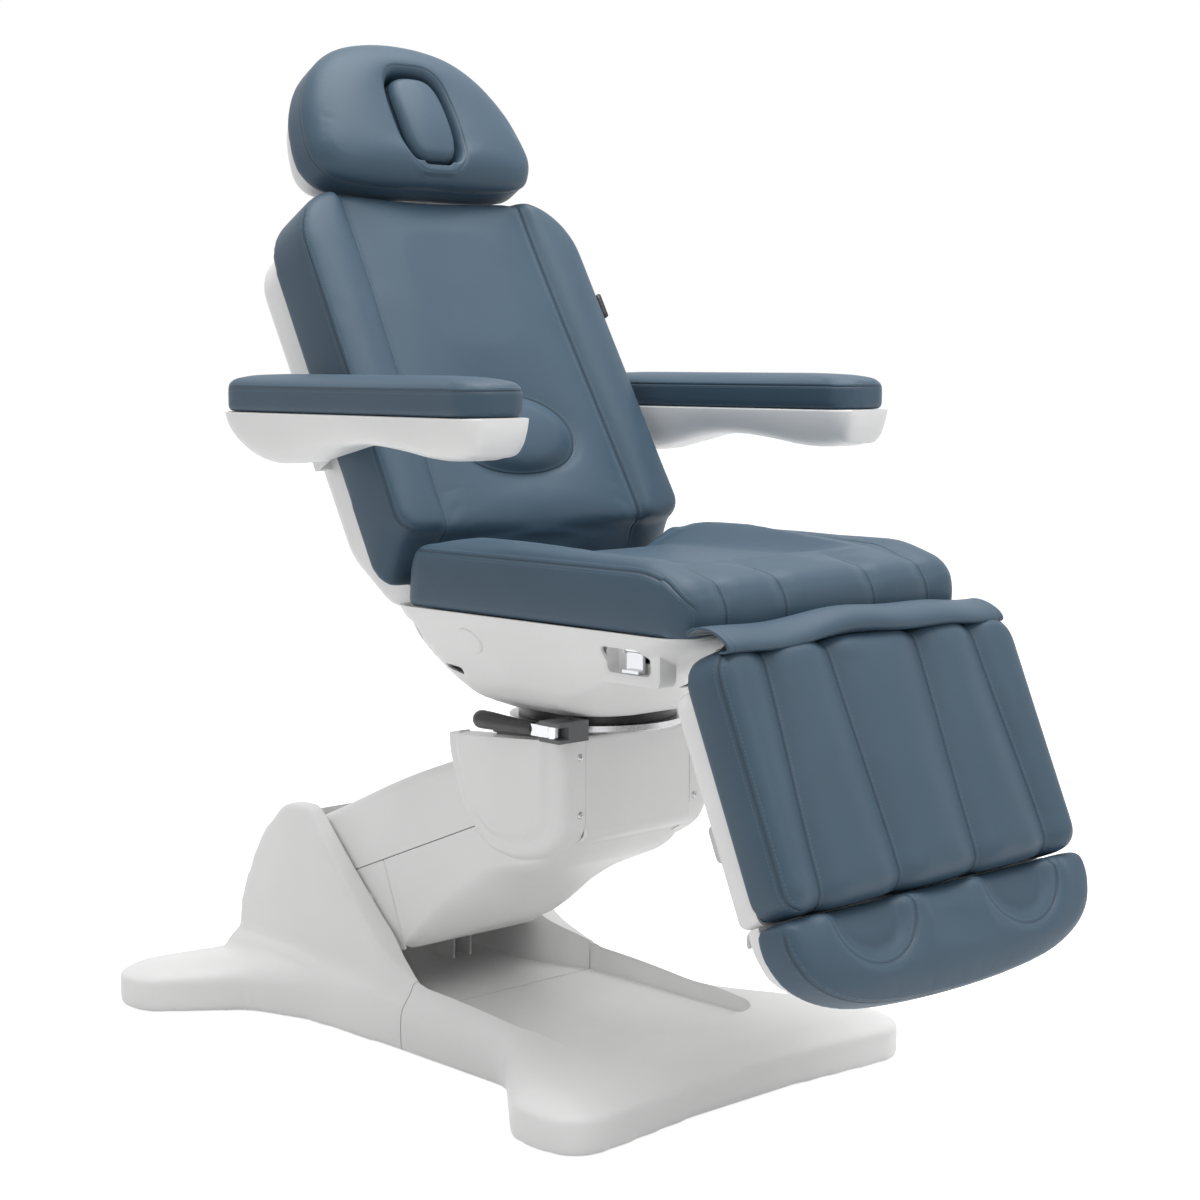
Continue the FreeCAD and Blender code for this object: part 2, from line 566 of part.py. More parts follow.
def make_lift_arm():
    pieces = []
    r = s.plate_radius
    for sign in (1, -1):
        x0, x1 = span(sign, s.plate_x, s.plate_x + s.plate_thick)
        plate = new_body("arm_plate")
        extrude(plate, "YZ", rectangle(-s.arm_long - r, r, -r, r, r * 0.97), x0, x1)
        pieces.append(plate)
    for station in (s.brace_one, s.brace_two):
        pieces.append(bar("x", 0, -station, s.brace_rise, s.brace_radius, -s.arm_x + s.arm_wall,
                          s.arm_x - s.arm_wall))
    for sign in (1, -1):
        x0, x1 = span(sign, s.plate_x, s.plate_x + s.plate_thick)
        pieces.append(box(x0, x1, -s.brace_two, -s.brace_two + 30, s.arm_seam - 48, -r + 2))
        x0, x1 = span(sign, s.plate_x + 1, s.arm_x - s.arm_wall)
        pieces.append(bar("x", 0, -s.brace_two + 15, s.arm_seam - 33, s.brace_radius * 0.8, x0, x1))
    ends = s.arm_x
    bores = [bar("x", 0, 0, 0, shaft_bore, -ends, ends),
             bar("x", 0, -s.arm_long, 0, shaft_bore, -ends, ends)]
    arm_node(cut(fuse(*pieces), *bores), "lift_arm_frame")
    wall = s.arm_wall
    upper = new_body("upper_cover")
    seam = s.arm_seam + s.seam_gap / 2
    extrude(upper, "XZ", [(-s.arm_x, seam), (-s.arm_x + wall, seam),
                          (-s.arm_x + wall, s.arm_top - wall, s.arm_round - wall),
                          (s.arm_x - wall, s.arm_top - wall, s.arm_round - wall), (s.arm_x - wall, seam),
                          (s.arm_x, seam), (s.arm_x, s.arm_top, s.arm_round),
                          (-s.arm_x, s.arm_top, s.arm_round)],
            -s.upper_end, s.arm_tail)
    heel = [(s.arm_tail - 25, s.arm_top + 1), (s.arm_tail + 1, s.arm_top + 1),
            (s.arm_tail + 1, s.arm_top - 55)]
    pocket(upper, "YZ", heel, -s.arm_x - 1, s.arm_x + 1)
    shaft_hole = bar("x", 0, 0, 0, s.shaft_radius + 2, -s.arm_x - 1, s.arm_x + 1)
    arm_node(cut(upper, shaft_hole), "arm_upper_cover")
    lower = new_body("lower_cover")
    seam = s.arm_seam - s.seam_gap / 2
    tail = s.arm_tail / 3
    open_end = -s.belly_start * 2.6

    def course(inwards):
        """The belly from its open end to the round nose below the head."""
        nose = s.nose_radius - inwards
        return [(-s.belly_end, s.arm_belly + inwards, 120), (-s.arm_long - nose * 0.74, -nose * 0.7, 60),
                (-s.arm_long - nose * 0.98, -nose * 0.2)]

    extrude(lower, "YZ", [(tail, seam), (tail, s.arm_belly + 72), (-s.belly_start, s.arm_belly + 32, 80),
                          (open_end, s.arm_belly, 80)] + course(dim(0)) + [(-s.upper_end, seam)], -s.arm_x,
            s.arm_x)

    def keel(edge):
        box_ = edge.BoundBox
        low = box_.ZMax < seam.value - 5 and box_.YMax < open_end.value + 40
        return low and box_.XLength < 0.5 and abs(abs(box_.XMin) - s.arm_x.value) < 0.5

    round_edges(lower, s.belly_round, keel)
    mouth = [(tail + 1, seam + 1), (tail + 1, s.arm_belly - 1), (open_end, s.arm_belly - 1)]
    for inwards, half in ((s.belly_round, s.arm_x - wall), (wall, s.arm_x - s.belly_round)):
        room = mouth + [(open_end, s.arm_belly + inwards)] + course(inwards)
        pocket(lower, "YZ", room + [(-s.arm_long - s.nose_radius + inwards, seam + 1)], -half, half)
    arm_node(lower, "arm_lower_cover")


def make_lift_links():
    for sign, side in ((-1, "right"), (1, "left")):
        link = new_body("link")
        out = s.link_wide / 2
        inside = out - s.link_wall
        half = s.link_high / 2
        extrude(link, "XZ", [(-out, -half), (-inside, -half), (-inside, half - s.link_wall),
                             (inside, half - s.link_wall),
                             (inside, -half), (out, -half), (out, half), (-out, half)],
                -s.arm_long - half, half)
        bores = [bar("x", 0, station, 0, link_bore, -s.link_wide, s.link_wide) for station in (0,
                                                                                               -s.arm_long)]
        node(cut(link, *bores), f"lift_link_{side}", sign * s.post_x, link_y, link_z, s.arm_angle,
             (-1, 0, 0))


def make_lift_drive():
    reach_y = link_y - head_y
    reach_z = head_z - link_z
    angle = math.degrees(math.atan2(reach_z.value, reach_y.value))
    reach = Dim(math.hypot(reach_y.value, reach_z.value), f"sqrt({reach_y.text} ^ 2 + {reach_z.text} ^ 2)")
    turn = Dim(angle, f"(atan2({reach_z.text}; {reach_y.text}) / 1 deg)")
    wide = s.motor_radius + 4
    boss = bar("x", 0, 0, 0, s.drive_boss, -wide, wide)
    case = bar("y", 0, 0, 0, s.motor_radius, -s.motor_long, -s.drive_boss / 2)
    gearbox = box(-wide + 1, wide - 1, -s.motor_long * 0.45, -s.drive_boss * 0.6, -s.motor_radius * 1.5, 4)
    bores = [bar("x", 0, 0, 0, link_bore, -s.motor_long, s.motor_long),
             bar("y", 0, 0, 0, s.rod_radius + s.running_gap, -s.motor_long - 1, -s.motor_long * 0.4)]
    node(cut(fuse(boss, case, gearbox), *bores), "lift_motor", 0, link_y, link_z, turn, (-1, 0, 0))
    tip = reach - s.shaft_radius - s.rod_open
    rod = bar("y", 0, 0, 0, s.rod_radius, -tip, -s.motor_long * 0.55)
    node(group(rod), "lift_rod", 0, link_y, link_z, turn, (-1, 0, 0))


def make_head():
    floor = s.head_top - s.head_wall - s.top_plate
    plate_top = floor + s.top_plate
    out = s.head_plate_x + s.head_plate_thick
    pieces = [box(-out, out, s.head_front + 14, head_y + 50, floor, plate_top)]
    for sign in (1, -1):
        x0, x1 = span(sign, s.head_plate_x, out)
        plate = new_body("head_plate")
        extrude(plate, "YZ", [(link_head_y - 18, link_head_z - 18, 16),
                              (link_head_y + 22, link_head_z - 18, 16),
                              (head_y + 42, head_z - 34, 16), (head_y + 42, floor + 1),
                              (link_head_y - 18, floor + 1)],
                x0, x1)
        pieces.append(plate)
    bores = [bar("x", 0, head_y, head_z, s.shaft_radius, -out - 1, out + 1),
             bar("x", 0, link_head_y, link_head_z, s.link_shaft_radius, -out - 1, out + 1)]
    node(cut(fuse(*pieces), *bores), "head_frame")
    node(bar("x", 0, head_y, head_z, s.shaft_radius, -out, out), "head_pivot_shaft")
    node(bar("x", 0, link_head_y, link_head_z, s.link_shaft_radius, -out, out), "link_head_shaft")
    make_head_covers(plate_top)
    under = s.table_top - s.table_thick
    inner = s.hub_radius + s.running_gap
    node(revolved("turntable", [(inner, plate_top), (s.spacer_radius, plate_top), (s.spacer_radius, under),
                                (s.table_radius - 2, under), (s.table_radius, under + 2),
                                (s.table_radius, s.table_top),
                                (inner, s.table_top)]), "turntable_plate")
    low = s.table_top + s.drum_lift
    node(revolved("drum", [(0, plate_top + s.drum_lift), (s.hub_radius, plate_top + s.drum_lift),
                           (s.hub_radius, low), (s.drum_radius, low),
                           (s.drum_radius, s.drum_top - 5), (s.drum_radius - 5, s.drum_top),
                           (0, s.drum_top)]),
         "swivel_drum")


def make_head_covers(plate_top):
    wall = s.head_wall
    side = [(s.head_front, s.head_bottom + 22), (s.head_low_y - 30, s.head_bottom, s.cheek_round * 2),
            (s.head_low_y + 40, s.head_low_z, s.cheek_round * 3),
            (s.head_rear - 22, s.head_bottom + 44, s.cheek_round * 3),
            (s.head_rear, s.head_top - 40, s.cheek_round), (s.head_rear - 4, s.head_top, s.cheek_round),
            (s.head_front, s.head_top)]
    for sign, name in ((-1, "right"), (1, "left")):
        cheek = new_body("cheek")
        x0, x1 = span(sign, s.head_seam_x + s.seam_gap / 2, s.head_x)
        extrude(cheek, "YZ", side, x0, x1)
        outer = sign * s.head_x.value

        def front_corner(edge):
            box_ = edge.BoundBox
            upright = box_.ZLength > 60 and box_.XLength < 1 and box_.YLength < 1
            return upright and abs(box_.XMin - outer) < 1 and abs(box_.YMin - s.head_front.value) < 1

        round_edges(cheek, s.head_round, front_corner)

        def rim(edge):
            box_ = edge.BoundBox
            upright = abs(box_.XMin - outer) < 1 and abs(box_.XMax - outer) < 1
            return upright and box_.YMax > s.head_front.value + 40

        round_edges(cheek, s.cheek_round * 0.6, rim)
        x0, x1 = span(sign, s.head_seam_x - 1, s.head_inner)
        room = box(x0, x1, s.head_front + wall, s.head_rear + 10, s.head_low_z - 10, s.head_top - wall)
        node(cut(cheek, room), f"head_side_cover_{name}")
    front = new_body("front")
    edge = s.head_seam_x - s.seam_gap / 2
    extrude(front, "YZ", [(s.head_front, s.head_bottom + 22), (s.head_front + wall, s.head_bottom + 22),
                          (s.head_front + wall, s.head_top - wall), (s.head_front + 22, s.head_top - wall),
                          (s.head_front + 22, s.head_top), (s.head_front, s.head_top, wall * 2)], -edge,
            edge)
    node(front, "head_front_cover")
    screws = [bar("y", sign * s.screw_x, 0, level, s.screw_radius, s.head_front - 2, s.head_front)
              for sign in (1, -1) for level in (s.screw_low, s.screw_high)]
    node(group(*screws), "head_cover_screws")


def make_brake():
    x0 = s.brake_x - s.brake_wide / 2
    x1 = s.brake_x + s.brake_wide / 2
    y0 = s.brake_y - s.brake_deep / 2
    y1 = s.brake_y + s.brake_deep / 2
    table = s.table_top - s.table_thick
    block = box(x0, x1 + 20, y0, y1, s.head_top, s.brake_top)
    mouth = bar("z", 0, 0, 0, s.table_radius, table - 10, s.table_top + s.drum_lift * 3)
    jaw = box(x0 - 1, x0 + 18, y0 - 1, y1 + 1, table + 1, s.brake_top - 6)
    pin = bar("z", x0 + 9, s.brake_y, 0, s.hinge_pin / 2, table - 1, s.brake_top - 1)
    node(fuse(cut(block, mouth, jaw), pin), "clamp_block")
    low = table + 1 + s.lever_gap / 2
    high = s.brake_top - 6 - s.lever_gap / 2
    eye = bar("z", x0 + 9, s.brake_y, 0, dim(8), low, high)
    shank = box(x0 + 3, x0 + 15, s.brake_y, s.brake_y + s.grip_start + 2, low, high)
    fork = cut(fuse(eye, shank), bar("z", x0 + 9, s.brake_y, 0, s.hinge_pin / 2 + s.running_gap, low - 1,
                                     high + 1))
    node(fork, "brake_lever_fork")
    start = s.brake_y + s.grip_start + 2
    middle = (low + high) / 2
    body = new_body("grip")
    sketch = profile(body, "XZ", [(0, 0), (s.grip_neck, 0), (s.grip_neck, 22, 30),
                                  (s.grip_radius, s.grip_long - 14, 10),
                                  (s.grip_radius - 4, s.grip_long), (0, s.grip_long)])
    turned = body.newObject("PartDesign::Revolution", "turned")
    turned.Profile = sketch
    turned.ReferenceAxis = (sketch, ["V_Axis"])
    turned.Angle = 360
    doc.recompute()
    node(body, "brake_lever_grip", x0 + 9, start, middle, 90, (-1, 0, 0))


def cap_disc(sign, long, proud):
    """A disc on the sloping side of the pan, standing proud of it by the given amount."""
    tilt = s.cap_tilt
    disc = doc.addObject("Part::Cylinder", "disc")
    bind(disc, {"Radius": s.cap_radius, "Height": long})
    inward = dim(long) - proud
    place(disc, sign * (s.cap_x - inward * cosine(tilt)), s.cap_y, s.cap_z + inward * sine(tilt), 90 + tilt,
          (0, sign, 0))
    return disc


def make_pan():
    def section(x, front, rear, radius, inset=0):
        return rectangle(-x + inset, x - inset, front + inset, rear - inset, dim(radius) - inset)

    wall = s.pan_wall
    pan = new_body("pan")
    room = new_body("pan_room")
    lofted(pan, [(s.pan_floor, section(s.keel_x, s.keel_front, s.keel_rear, 55)),
                 (s.bowl_z, section(s.bowl_x, s.bowl_front, s.bowl_rear, 70)),
                 (s.pan_waist_z, section(s.pan_waist_x, s.pan_waist_front, s.pan_rear, 60)),
                 (s.pan_top, section(s.pan_x, s.pan_front, s.pan_rear, 40))])
    lofted(room, [(s.pan_floor + wall, section(s.keel_x, s.keel_front, s.keel_rear, 55, wall)),
                 (s.bowl_z + wall, section(s.bowl_x, s.bowl_front, s.bowl_rear, 70, wall)),
                 (s.pan_waist_z + wall, section(s.pan_waist_x, s.pan_waist_front, s.pan_rear, 60, wall)),
                 (s.pan_top + 1, section(s.pan_x, s.pan_front, s.pan_rear, 40, wall))])
    tools = [room, bar("z", 0, 0, 0, s.pan_hole, s.pan_floor - 1, s.pan_floor + 30),
             box(s.rod_side - 16, s.drive_x + 16, s.pan_rear - 60, s.pan_rear + 20, s.drive_level - 40,
                 s.pan_top + 2),
             box(-s.drive_x - 16, -s.rod_side + 16, s.pan_front - 1, s.pan_front + 140, s.drive_level - 40,
                 s.pan_top + 2)]
    caps = []
    for sign in (1, -1):
        x0, x1 = span(sign, s.pan_waist_x - 24, s.pan_x + 1)
        tools.append(box(x0, x1, s.latch_front, s.latch_rear, s.latch_low, s.latch_high))
        x0, x1 = span(sign, s.hinge_x - s.hinge_wide * 2, s.hinge_x + s.hinge_wide * 2)
        tools.append(box(x0, x1, s.pan_rear - 40, s.pan_rear + 1, s.back_pivot_z - s.hinge_radius - 4,
                         s.pan_top + 2))
        x0, x1 = span(sign, s.leg_hinge_x - s.hinge_wide * 2, s.leg_hinge_x + s.hinge_wide * 2)
        tools.append(box(x0, x1, s.pan_front - 1, s.pan_front + 60, s.leg_pivot_z - s.hinge_radius - 14,
                         s.pan_top + 2))
        tools.append(cap_disc(sign, 40, 12))
        caps.append(cap_disc(sign, 11, 3))
    node(cut(pan, *tools), "seat_pan")
    node(group(*caps), "pan_caps")
    return room


def hinge_ear(side, x_mid, y, z, toward, rail_y):
    """A plate of the seat frame that holds one end of a hinge pin."""
    ear = new_body("ear")
    half = s.hinge_wide / 2
    x0, x1 = span(side, x_mid - half * 3, x_mid - half - 0.5)
    r = s.hinge_radius * 0.55
    tip = y + toward * r
    extrude(ear, "YZ", [(rail_y, s.seat_rail_low), (tip, z - r, 10), (tip, z + r, 10),
                        (rail_y, s.seat_rail_high)]
            if toward > 0 else
            [(tip, z - r, 10), (rail_y, s.seat_rail_low), (rail_y, s.seat_rail_high), (tip, z + r, 10)], x0,
            x1)
    return ear


def make_seat_frame(room):
    half = s.seat_rail_wide / 2
    front = s.leg_pivot_y + 75
    rear = s.back_pivot_y - 30
    low, high = s.seat_rail_low, s.seat_rail_high
    pieces = [bar("z", 0, 0, 0, s.drum_radius - 14, s.drum_top, s.drum_top + 8),
              box(-60, 60, -40, 40, s.drum_top + 7, low + 1),
              box(-s.seat_rail_x, s.seat_rail_x, -40, 40, low, high),
              box(-s.seat_rail_x, s.seat_rail_x, front, front + 30, low, high),
              box(-s.seat_rail_x, s.seat_rail_x, rear - 75, rear - 45, low, high)]
    bores = []
    for sign in (1, -1):
        x0, x1 = span(sign, s.seat_rail_x - half, s.seat_rail_x + half)
        pieces.append(box(x0, x1, front, rear, low, high))
        pieces.append(hinge_ear(sign, s.hinge_x, s.back_pivot_y, s.back_pivot_z, 1, rear - 1))
        pieces.append(hinge_ear(sign, s.leg_hinge_x, s.leg_pivot_y, s.leg_pivot_z, -1, front + 1))
        x0, x1 = span(sign, s.rod_side - 8, s.rod_side + 8)
        pieces.append(box(x0, x1, -30, 30, s.drive_level + s.drive_radius, low + 1))
        for station in (-230, 60):
            x0, x1 = span(sign, s.seat_rail_x + half - 1, s.pan_x)
            rigger = doc.addObject("Part::Common", "outrigger")
            rigger.Base = box(x0, x1, station, station + 30, low, low + 20)
            rigger.Tool = room
            pieces.append(rigger)
    reach = s.pan_x
    bores.append(bar("x", 0, s.back_pivot_y, s.back_pivot_z, s.hinge_pin, -reach, reach))
    bores.append(bar("x", 0, s.leg_pivot_y, s.leg_pivot_z, s.hinge_pin, -reach, reach))
    node(cut(fuse(*pieces), *bores), "seat_frame")
    for x_mid, y, z, label in ((s.hinge_x, s.back_pivot_y, s.back_pivot_z, "back_hinge_pins"),
                               (s.leg_hinge_x, s.leg_pivot_y, s.leg_pivot_z, "leg_hinge_pins")):
        pins = []
        for sign in (1, -1):
            x0, x1 = span(sign, x_mid - s.hinge_wide * 1.5, x_mid + s.hinge_wide)
            pins.append(bar("x", 0, y, z, s.hinge_pin, x0, x1))
        node(group(*pins), label)


def make_seat_cushion():
    cushion = new_body("cushion")
    low = s.pan_top + s.pad_gap
    edge = s.seat_edge
    side = [(s.seat_front, low), (s.seat_rear, low), (s.seat_rear - s.seat_slope, s.seat_top, edge * 0.6),
            (s.seat_front, s.seat_top, edge)]
    extrude(cushion, "YZ", side, -s.seat_x, s.seat_x)
    round_edges(cushion, edge / 2, lambda e: abs(abs(e.BoundBox.XMin) - s.seat_x.value) < 0.5
                and e.BoundBox.XLength < 0.5 and e.BoundBox.ZMax > low.value + 1)
    notches = []
    for sign in (1, -1):
        x0, x1 = span(sign, s.leg_hinge_x - s.hinge_wide * 2, s.leg_hinge_x + s.hinge_wide * 2)
        notches.append(box(x0, x1, s.seat_front - 1, s.leg_pivot_y + 80, low - 1, s.leg_pivot_z + 20))
    node(cut(cushion, *notches), "seat_cushion")


def back_node(thing, label):
    node(thing, label, 0, s.back_pivot_y, s.back_pivot_z, s.back_angle)


def leg_node(thing, label):
    node(thing, label, 0, s.leg_pivot_y, s.leg_pivot_z, s.leg_angle)


def slotted_lever(side, long, lean):
    """A lever with a radial slot, leaning so that it hangs plumb at the middle of its travel."""
    lever = new_body("lever")
    half = s.lever_thick / 2
    wide = s.slot_half + s.lever_wall
    tip = long / cosine(lean) + s.drive_pin + 1
    x0, x1 = side * s.drive_x - half, side * s.drive_x + half
    extrude(lever, "YZ", [(-wide, -tip - s.lever_wall, s.lever_wall),
                          (wide, -tip - s.lever_wall, s.lever_wall),
                          (wide, -s.lever_top), (-wide, -s.lever_top)], x0, x1)
    slot = rectangle(-s.slot_half, s.slot_half, -tip, -long + s.drive_pin + 2, s.slot_half * 0.9)
    pocket(lever, "YZ", slot, x0 - 1, x1 + 1)
    place(lever, 0, 0, 0, lean, (-1, 0, 0))
    return lever


def make_back():
    tube_x0 = s.back_tube_x - s.back_tube_wide
    pieces = []
    bores = []
    half = s.hinge_wide / 2
    for sign in (1, -1):
        x0, x1 = span(sign, s.hinge_x - s.hinge_wide, s.hinge_x + s.hinge_wide)
        bores.append(bar("x", 0, 0, 0, hinge_bore, x0, x1))
        x0, x1 = span(sign, tube_x0, s.back_tube_x)
        pieces.append(box(x0, x1, s.back_heel, s.shell_end - 60, s.back_tube_low, s.back_tube_top))
        lug = new_body("lug")
        x0, x1 = span(sign, s.hinge_x - half, s.hinge_x + half)
        r = s.hinge_radius * 0.8
        extrude(lug, "YZ", [(-r, -r, r * 0.9), (s.back_heel + 30, s.back_tube_low),
                            (s.back_heel + 30, s.back_tube_top),
                            (s.back_start - 2, s.back_tube_top, 6), (r * 0.8, r * 0.8, 6),
                            (-r, r * 0.8, 6)], x0, x1)
        pieces.append(lug)
    for station in (s.shell_step + 24, s.rest_pivot_s + 60, s.shell_end - 90):
        pieces.append(box(-s.back_tube_x, s.back_tube_x, station, station + 24, s.back_tube_low,
                          s.back_tube_top))
    guide = s.guide_x + s.guide_wall
    pieces.append(box(-guide, guide, s.rest_pivot_s + 60, s.shell_end - 36,
                      s.bracket_n - s.guide_wall - 0.3, s.back_tube_low + 1))
    bores.append(box(-s.guide_x, s.guide_x, s.rest_pivot_s + 86, s.shell_end, s.bracket_n - 0.3,
                     s.bracket_n + s.bracket_thick + 0.3))
    beam_x0, beam_x1 = s.drive_x - s.lever_thick / 2, s.drive_x + s.lever_thick / 2
    pieces.append(box(beam_x0, beam_x1, -12, s.shell_step + 30, s.back_tube_low, s.back_tube_low + 20))
    pieces.append(slotted_lever(1, s.back_pivot_z - s.drive_level, s.back_angle / 2 + 4))
    back_node(cut(fuse(*pieces), *bores), "back_frame")
    stays = []
    for sign in (1, -1):
        x0, x1 = span(sign, s.back_tube_x, s.stay_x + s.stay_thick)
        arm = box(x0, x1, s.rest_pivot_s - s.stay_wide / 2, s.rest_pivot_s + s.stay_wide / 2,
                  s.back_tube_low, s.back_tube_low + s.stay_thick)
        x0, x1 = span(sign, s.stay_x, s.stay_x + s.stay_thick)
        up = new_body("stay")
        w = s.stay_wide / 2
        extrude(up, "YZ", [(s.rest_pivot_s - w, s.back_tube_low), (s.rest_pivot_s + w, s.back_tube_low),
                           (s.rest_pivot_s + w, s.rest_pivot_n + w, w * 0.95),
                           (s.rest_pivot_s - w, s.rest_pivot_n + w, w * 0.95)], x0, x1)
        x0, x1 = span(sign, s.stay_x + s.stay_thick - 1, s.rest_x)
        stays.append(fuse(arm, up, bar("x", 0, s.rest_pivot_s, s.rest_pivot_n, s.rest_pin, x0, x1)))
    back_node(group(*stays), "armrest_stays")
    make_back_shell()
    make_back_cushion()


def make_back_shell():
    shell = new_body("shell")
    wall = s.shell_wall
    x = s.shell_x
    top = dim(0)
    outline = mirrored([(x - 36, s.shell_start, 26), (x, s.shell_start + 60, 60),
                        (x, s.shell_end, s.back_corner)])
    extrude(shell, "XY", outline, -s.shell_deep, top)
    deep = -s.shell_deep
    low_cut = [(s.shell_start - 1, deep - 1), (s.shell_step + 12, deep - 1),
               (s.shell_step - 14, deep + 26, 22),
               (s.shell_step - 60, deep + 36, 20), (s.shell_start - 1, deep + 44)]
    pocket(shell, "YZ", low_cut, -x - 1, x + 1)
    high_cut = [(s.shell_end - 46, deep - 1), (s.shell_end + 1, deep - 1), (s.shell_end + 1, deep + 34),
                (s.shell_end - 20, deep + 28, 14)]
    pocket(shell, "YZ", high_cut, -x - 1, x + 1)
    inside = mirrored([(x - 36 - wall, s.shell_start + wall, 24), (x - wall, s.shell_start + 60, 58),
                       (x - wall, s.shell_end - wall, s.back_corner - wall)])
    pocket(shell, "XY", inside, -s.shell_deep + 48, top + 1)
    well = mirrored([(x - 30, s.shell_step + 20, 20), (x - 30, s.shell_end - 52, 30)])
    pocket(shell, "XY", well, -s.shell_deep + wall, top + 1)
    tube_x0 = s.back_tube_x - s.back_tube_wide
    tools = [box(-s.guide_x - 8, s.guide_x + 8, s.shell_end - 60, s.shell_end + 1, s.bracket_n - 10,
                 top + 1),
             box(s.drive_x - 14, s.drive_x + 14, s.shell_start - 1, s.shell_step + 40, -s.shell_deep - 1,
                 top + 1)]
    for sign in (1, -1):
        x0, x1 = span(sign, s.shell_x - 40, s.shell_x + 1)
        w = s.stay_wide / 2 + 1
        tools.append(box(x0, x1, s.rest_pivot_s - w, s.rest_pivot_s + w, s.back_tube_low - 1, top + 1))
        x0, x1 = span(sign, tube_x0 - 2, s.back_tube_x + 2)
        tools.append(box(x0, x1, s.shell_start - 1, s.shell_step + 30, -s.shell_deep - 1, top + 1))
    back_node(cut(shell, *tools), "back_shell")


def make_back_cushion():
    cushion = new_body("cushion")
    low = s.pad_gap
    outline = mirrored([(s.back_low_x, s.back_start, 12), (s.back_x, s.back_end, s.back_corner)])
    extrude(cushion, "XY", outline, low, s.back_thick)
    heel = [(s.back_start - 1, low + 20), (s.back_start + 34, s.back_thick + 1),
            (s.back_start - 1, s.back_thick + 1)]
    pocket(cushion, "YZ", heel, -s.back_low_x - 1, s.back_low_x + 1)
    round_edges(cushion, s.back_edge, at_level("z", s.back_thick))
    back_node(cushion, "back_cushion")


def headrest_outline(inset):
    x = s.head_half - inset
    return mirrored([(s.head_base - inset, s.head_start + inset, 45), (x, s.head_wide_at - 30, 60),
                     (x - 8, s.head_wide_at + 60, 60),
                     (s.head_brow - inset / 2, s.head_end - 26 - inset, 60),
                     (s.head_crown * 0.3, s.head_end - inset, 60)])


def plug_outline(gap):
    half = s.plug_long / 2
    return rectangle(-s.plug_x - gap, s.plug_x + gap, s.plug_at - half - gap, s.plug_at + half + gap,
                     s.plug_x * 0.8)


def make_headrest():
    bracket = box(-s.bracket_x, s.bracket_x, s.bracket_low, s.bracket_high, s.bracket_n,
                  s.bracket_n + s.bracket_thick)
    lugs = []
    eye = s.bracket_n + s.bracket_thick / 2
    for sign in (1, -1):
        x0, x1 = span(sign, s.bracket_x - 12, s.bracket_x)
        lugs.append(bar("x", 0, s.head_hinge, eye, dim(9), x0, x1))
    end = s.bracket_x + 14
    pin = bar("x", 0, s.head_hinge, eye, dim(5), -end, end)
    back_node(fuse(bracket, *lugs, pin), "headrest_bracket")
    shell = new_body("shell")
    extrude(shell, "XY", headrest_outline(s.shell_inset), s.head_shell_low, s.head_shell_high)
    wall = s.shell_wall
    pocket(shell, "XY", headrest_outline(s.shell_inset + wall), s.head_shell_low + wall,
           s.head_shell_high + 1)
    tools = [box(-s.bracket_x - 1, s.bracket_x + 1, s.head_start, s.bracket_high + 1.5, eye - 14, eye + 14)]
    hole = new_body("hole")
    extrude(hole, "XY", plug_outline(s.plug_gap), s.head_shell_low - 1, s.head_shell_high + 1)
    tools.append(hole)
    ears = []
    for sign in (1, -1):
        x0, x1 = span(sign, s.bracket_x + 1, s.bracket_x + 14)
        ear = box(x0, x1, s.head_hinge - 12, s.head_hinge + 12, eye - 10, s.head_shell_low + wall)
        ears.append(ear)
    bore = bar("x", 0, s.head_hinge, eye, dim(5) + s.running_gap, -end - 1, end + 1)
    back_node(cut(fuse(cut(shell, *tools), *ears), bore), "headrest_shell")
    cushion = new_body("cushion")
    low = s.head_shell_high + s.pad_gap
    extrude(cushion, "XY", headrest_outline(dim(0)), low, s.head_thick_top)
    round_edges(cushion, s.head_round * 0.6, at_level("z", s.head_thick_top))
    pocket(cushion, "XY", plug_outline(s.plug_gap), low - 1, s.head_thick_top + 1)
    back_node(cushion, "headrest_cushion")
    plug = new_body("plug")
    extrude(plug, "XY", plug_outline(dim(0)), s.head_thick_top - s.plug_thick,
            s.head_thick_top + s.plug_cap)
    round_edges(plug, s.plug_cap * 0.8, at_level("z", s.head_thick_top + s.plug_cap))
    back_node(plug, "face_plug")


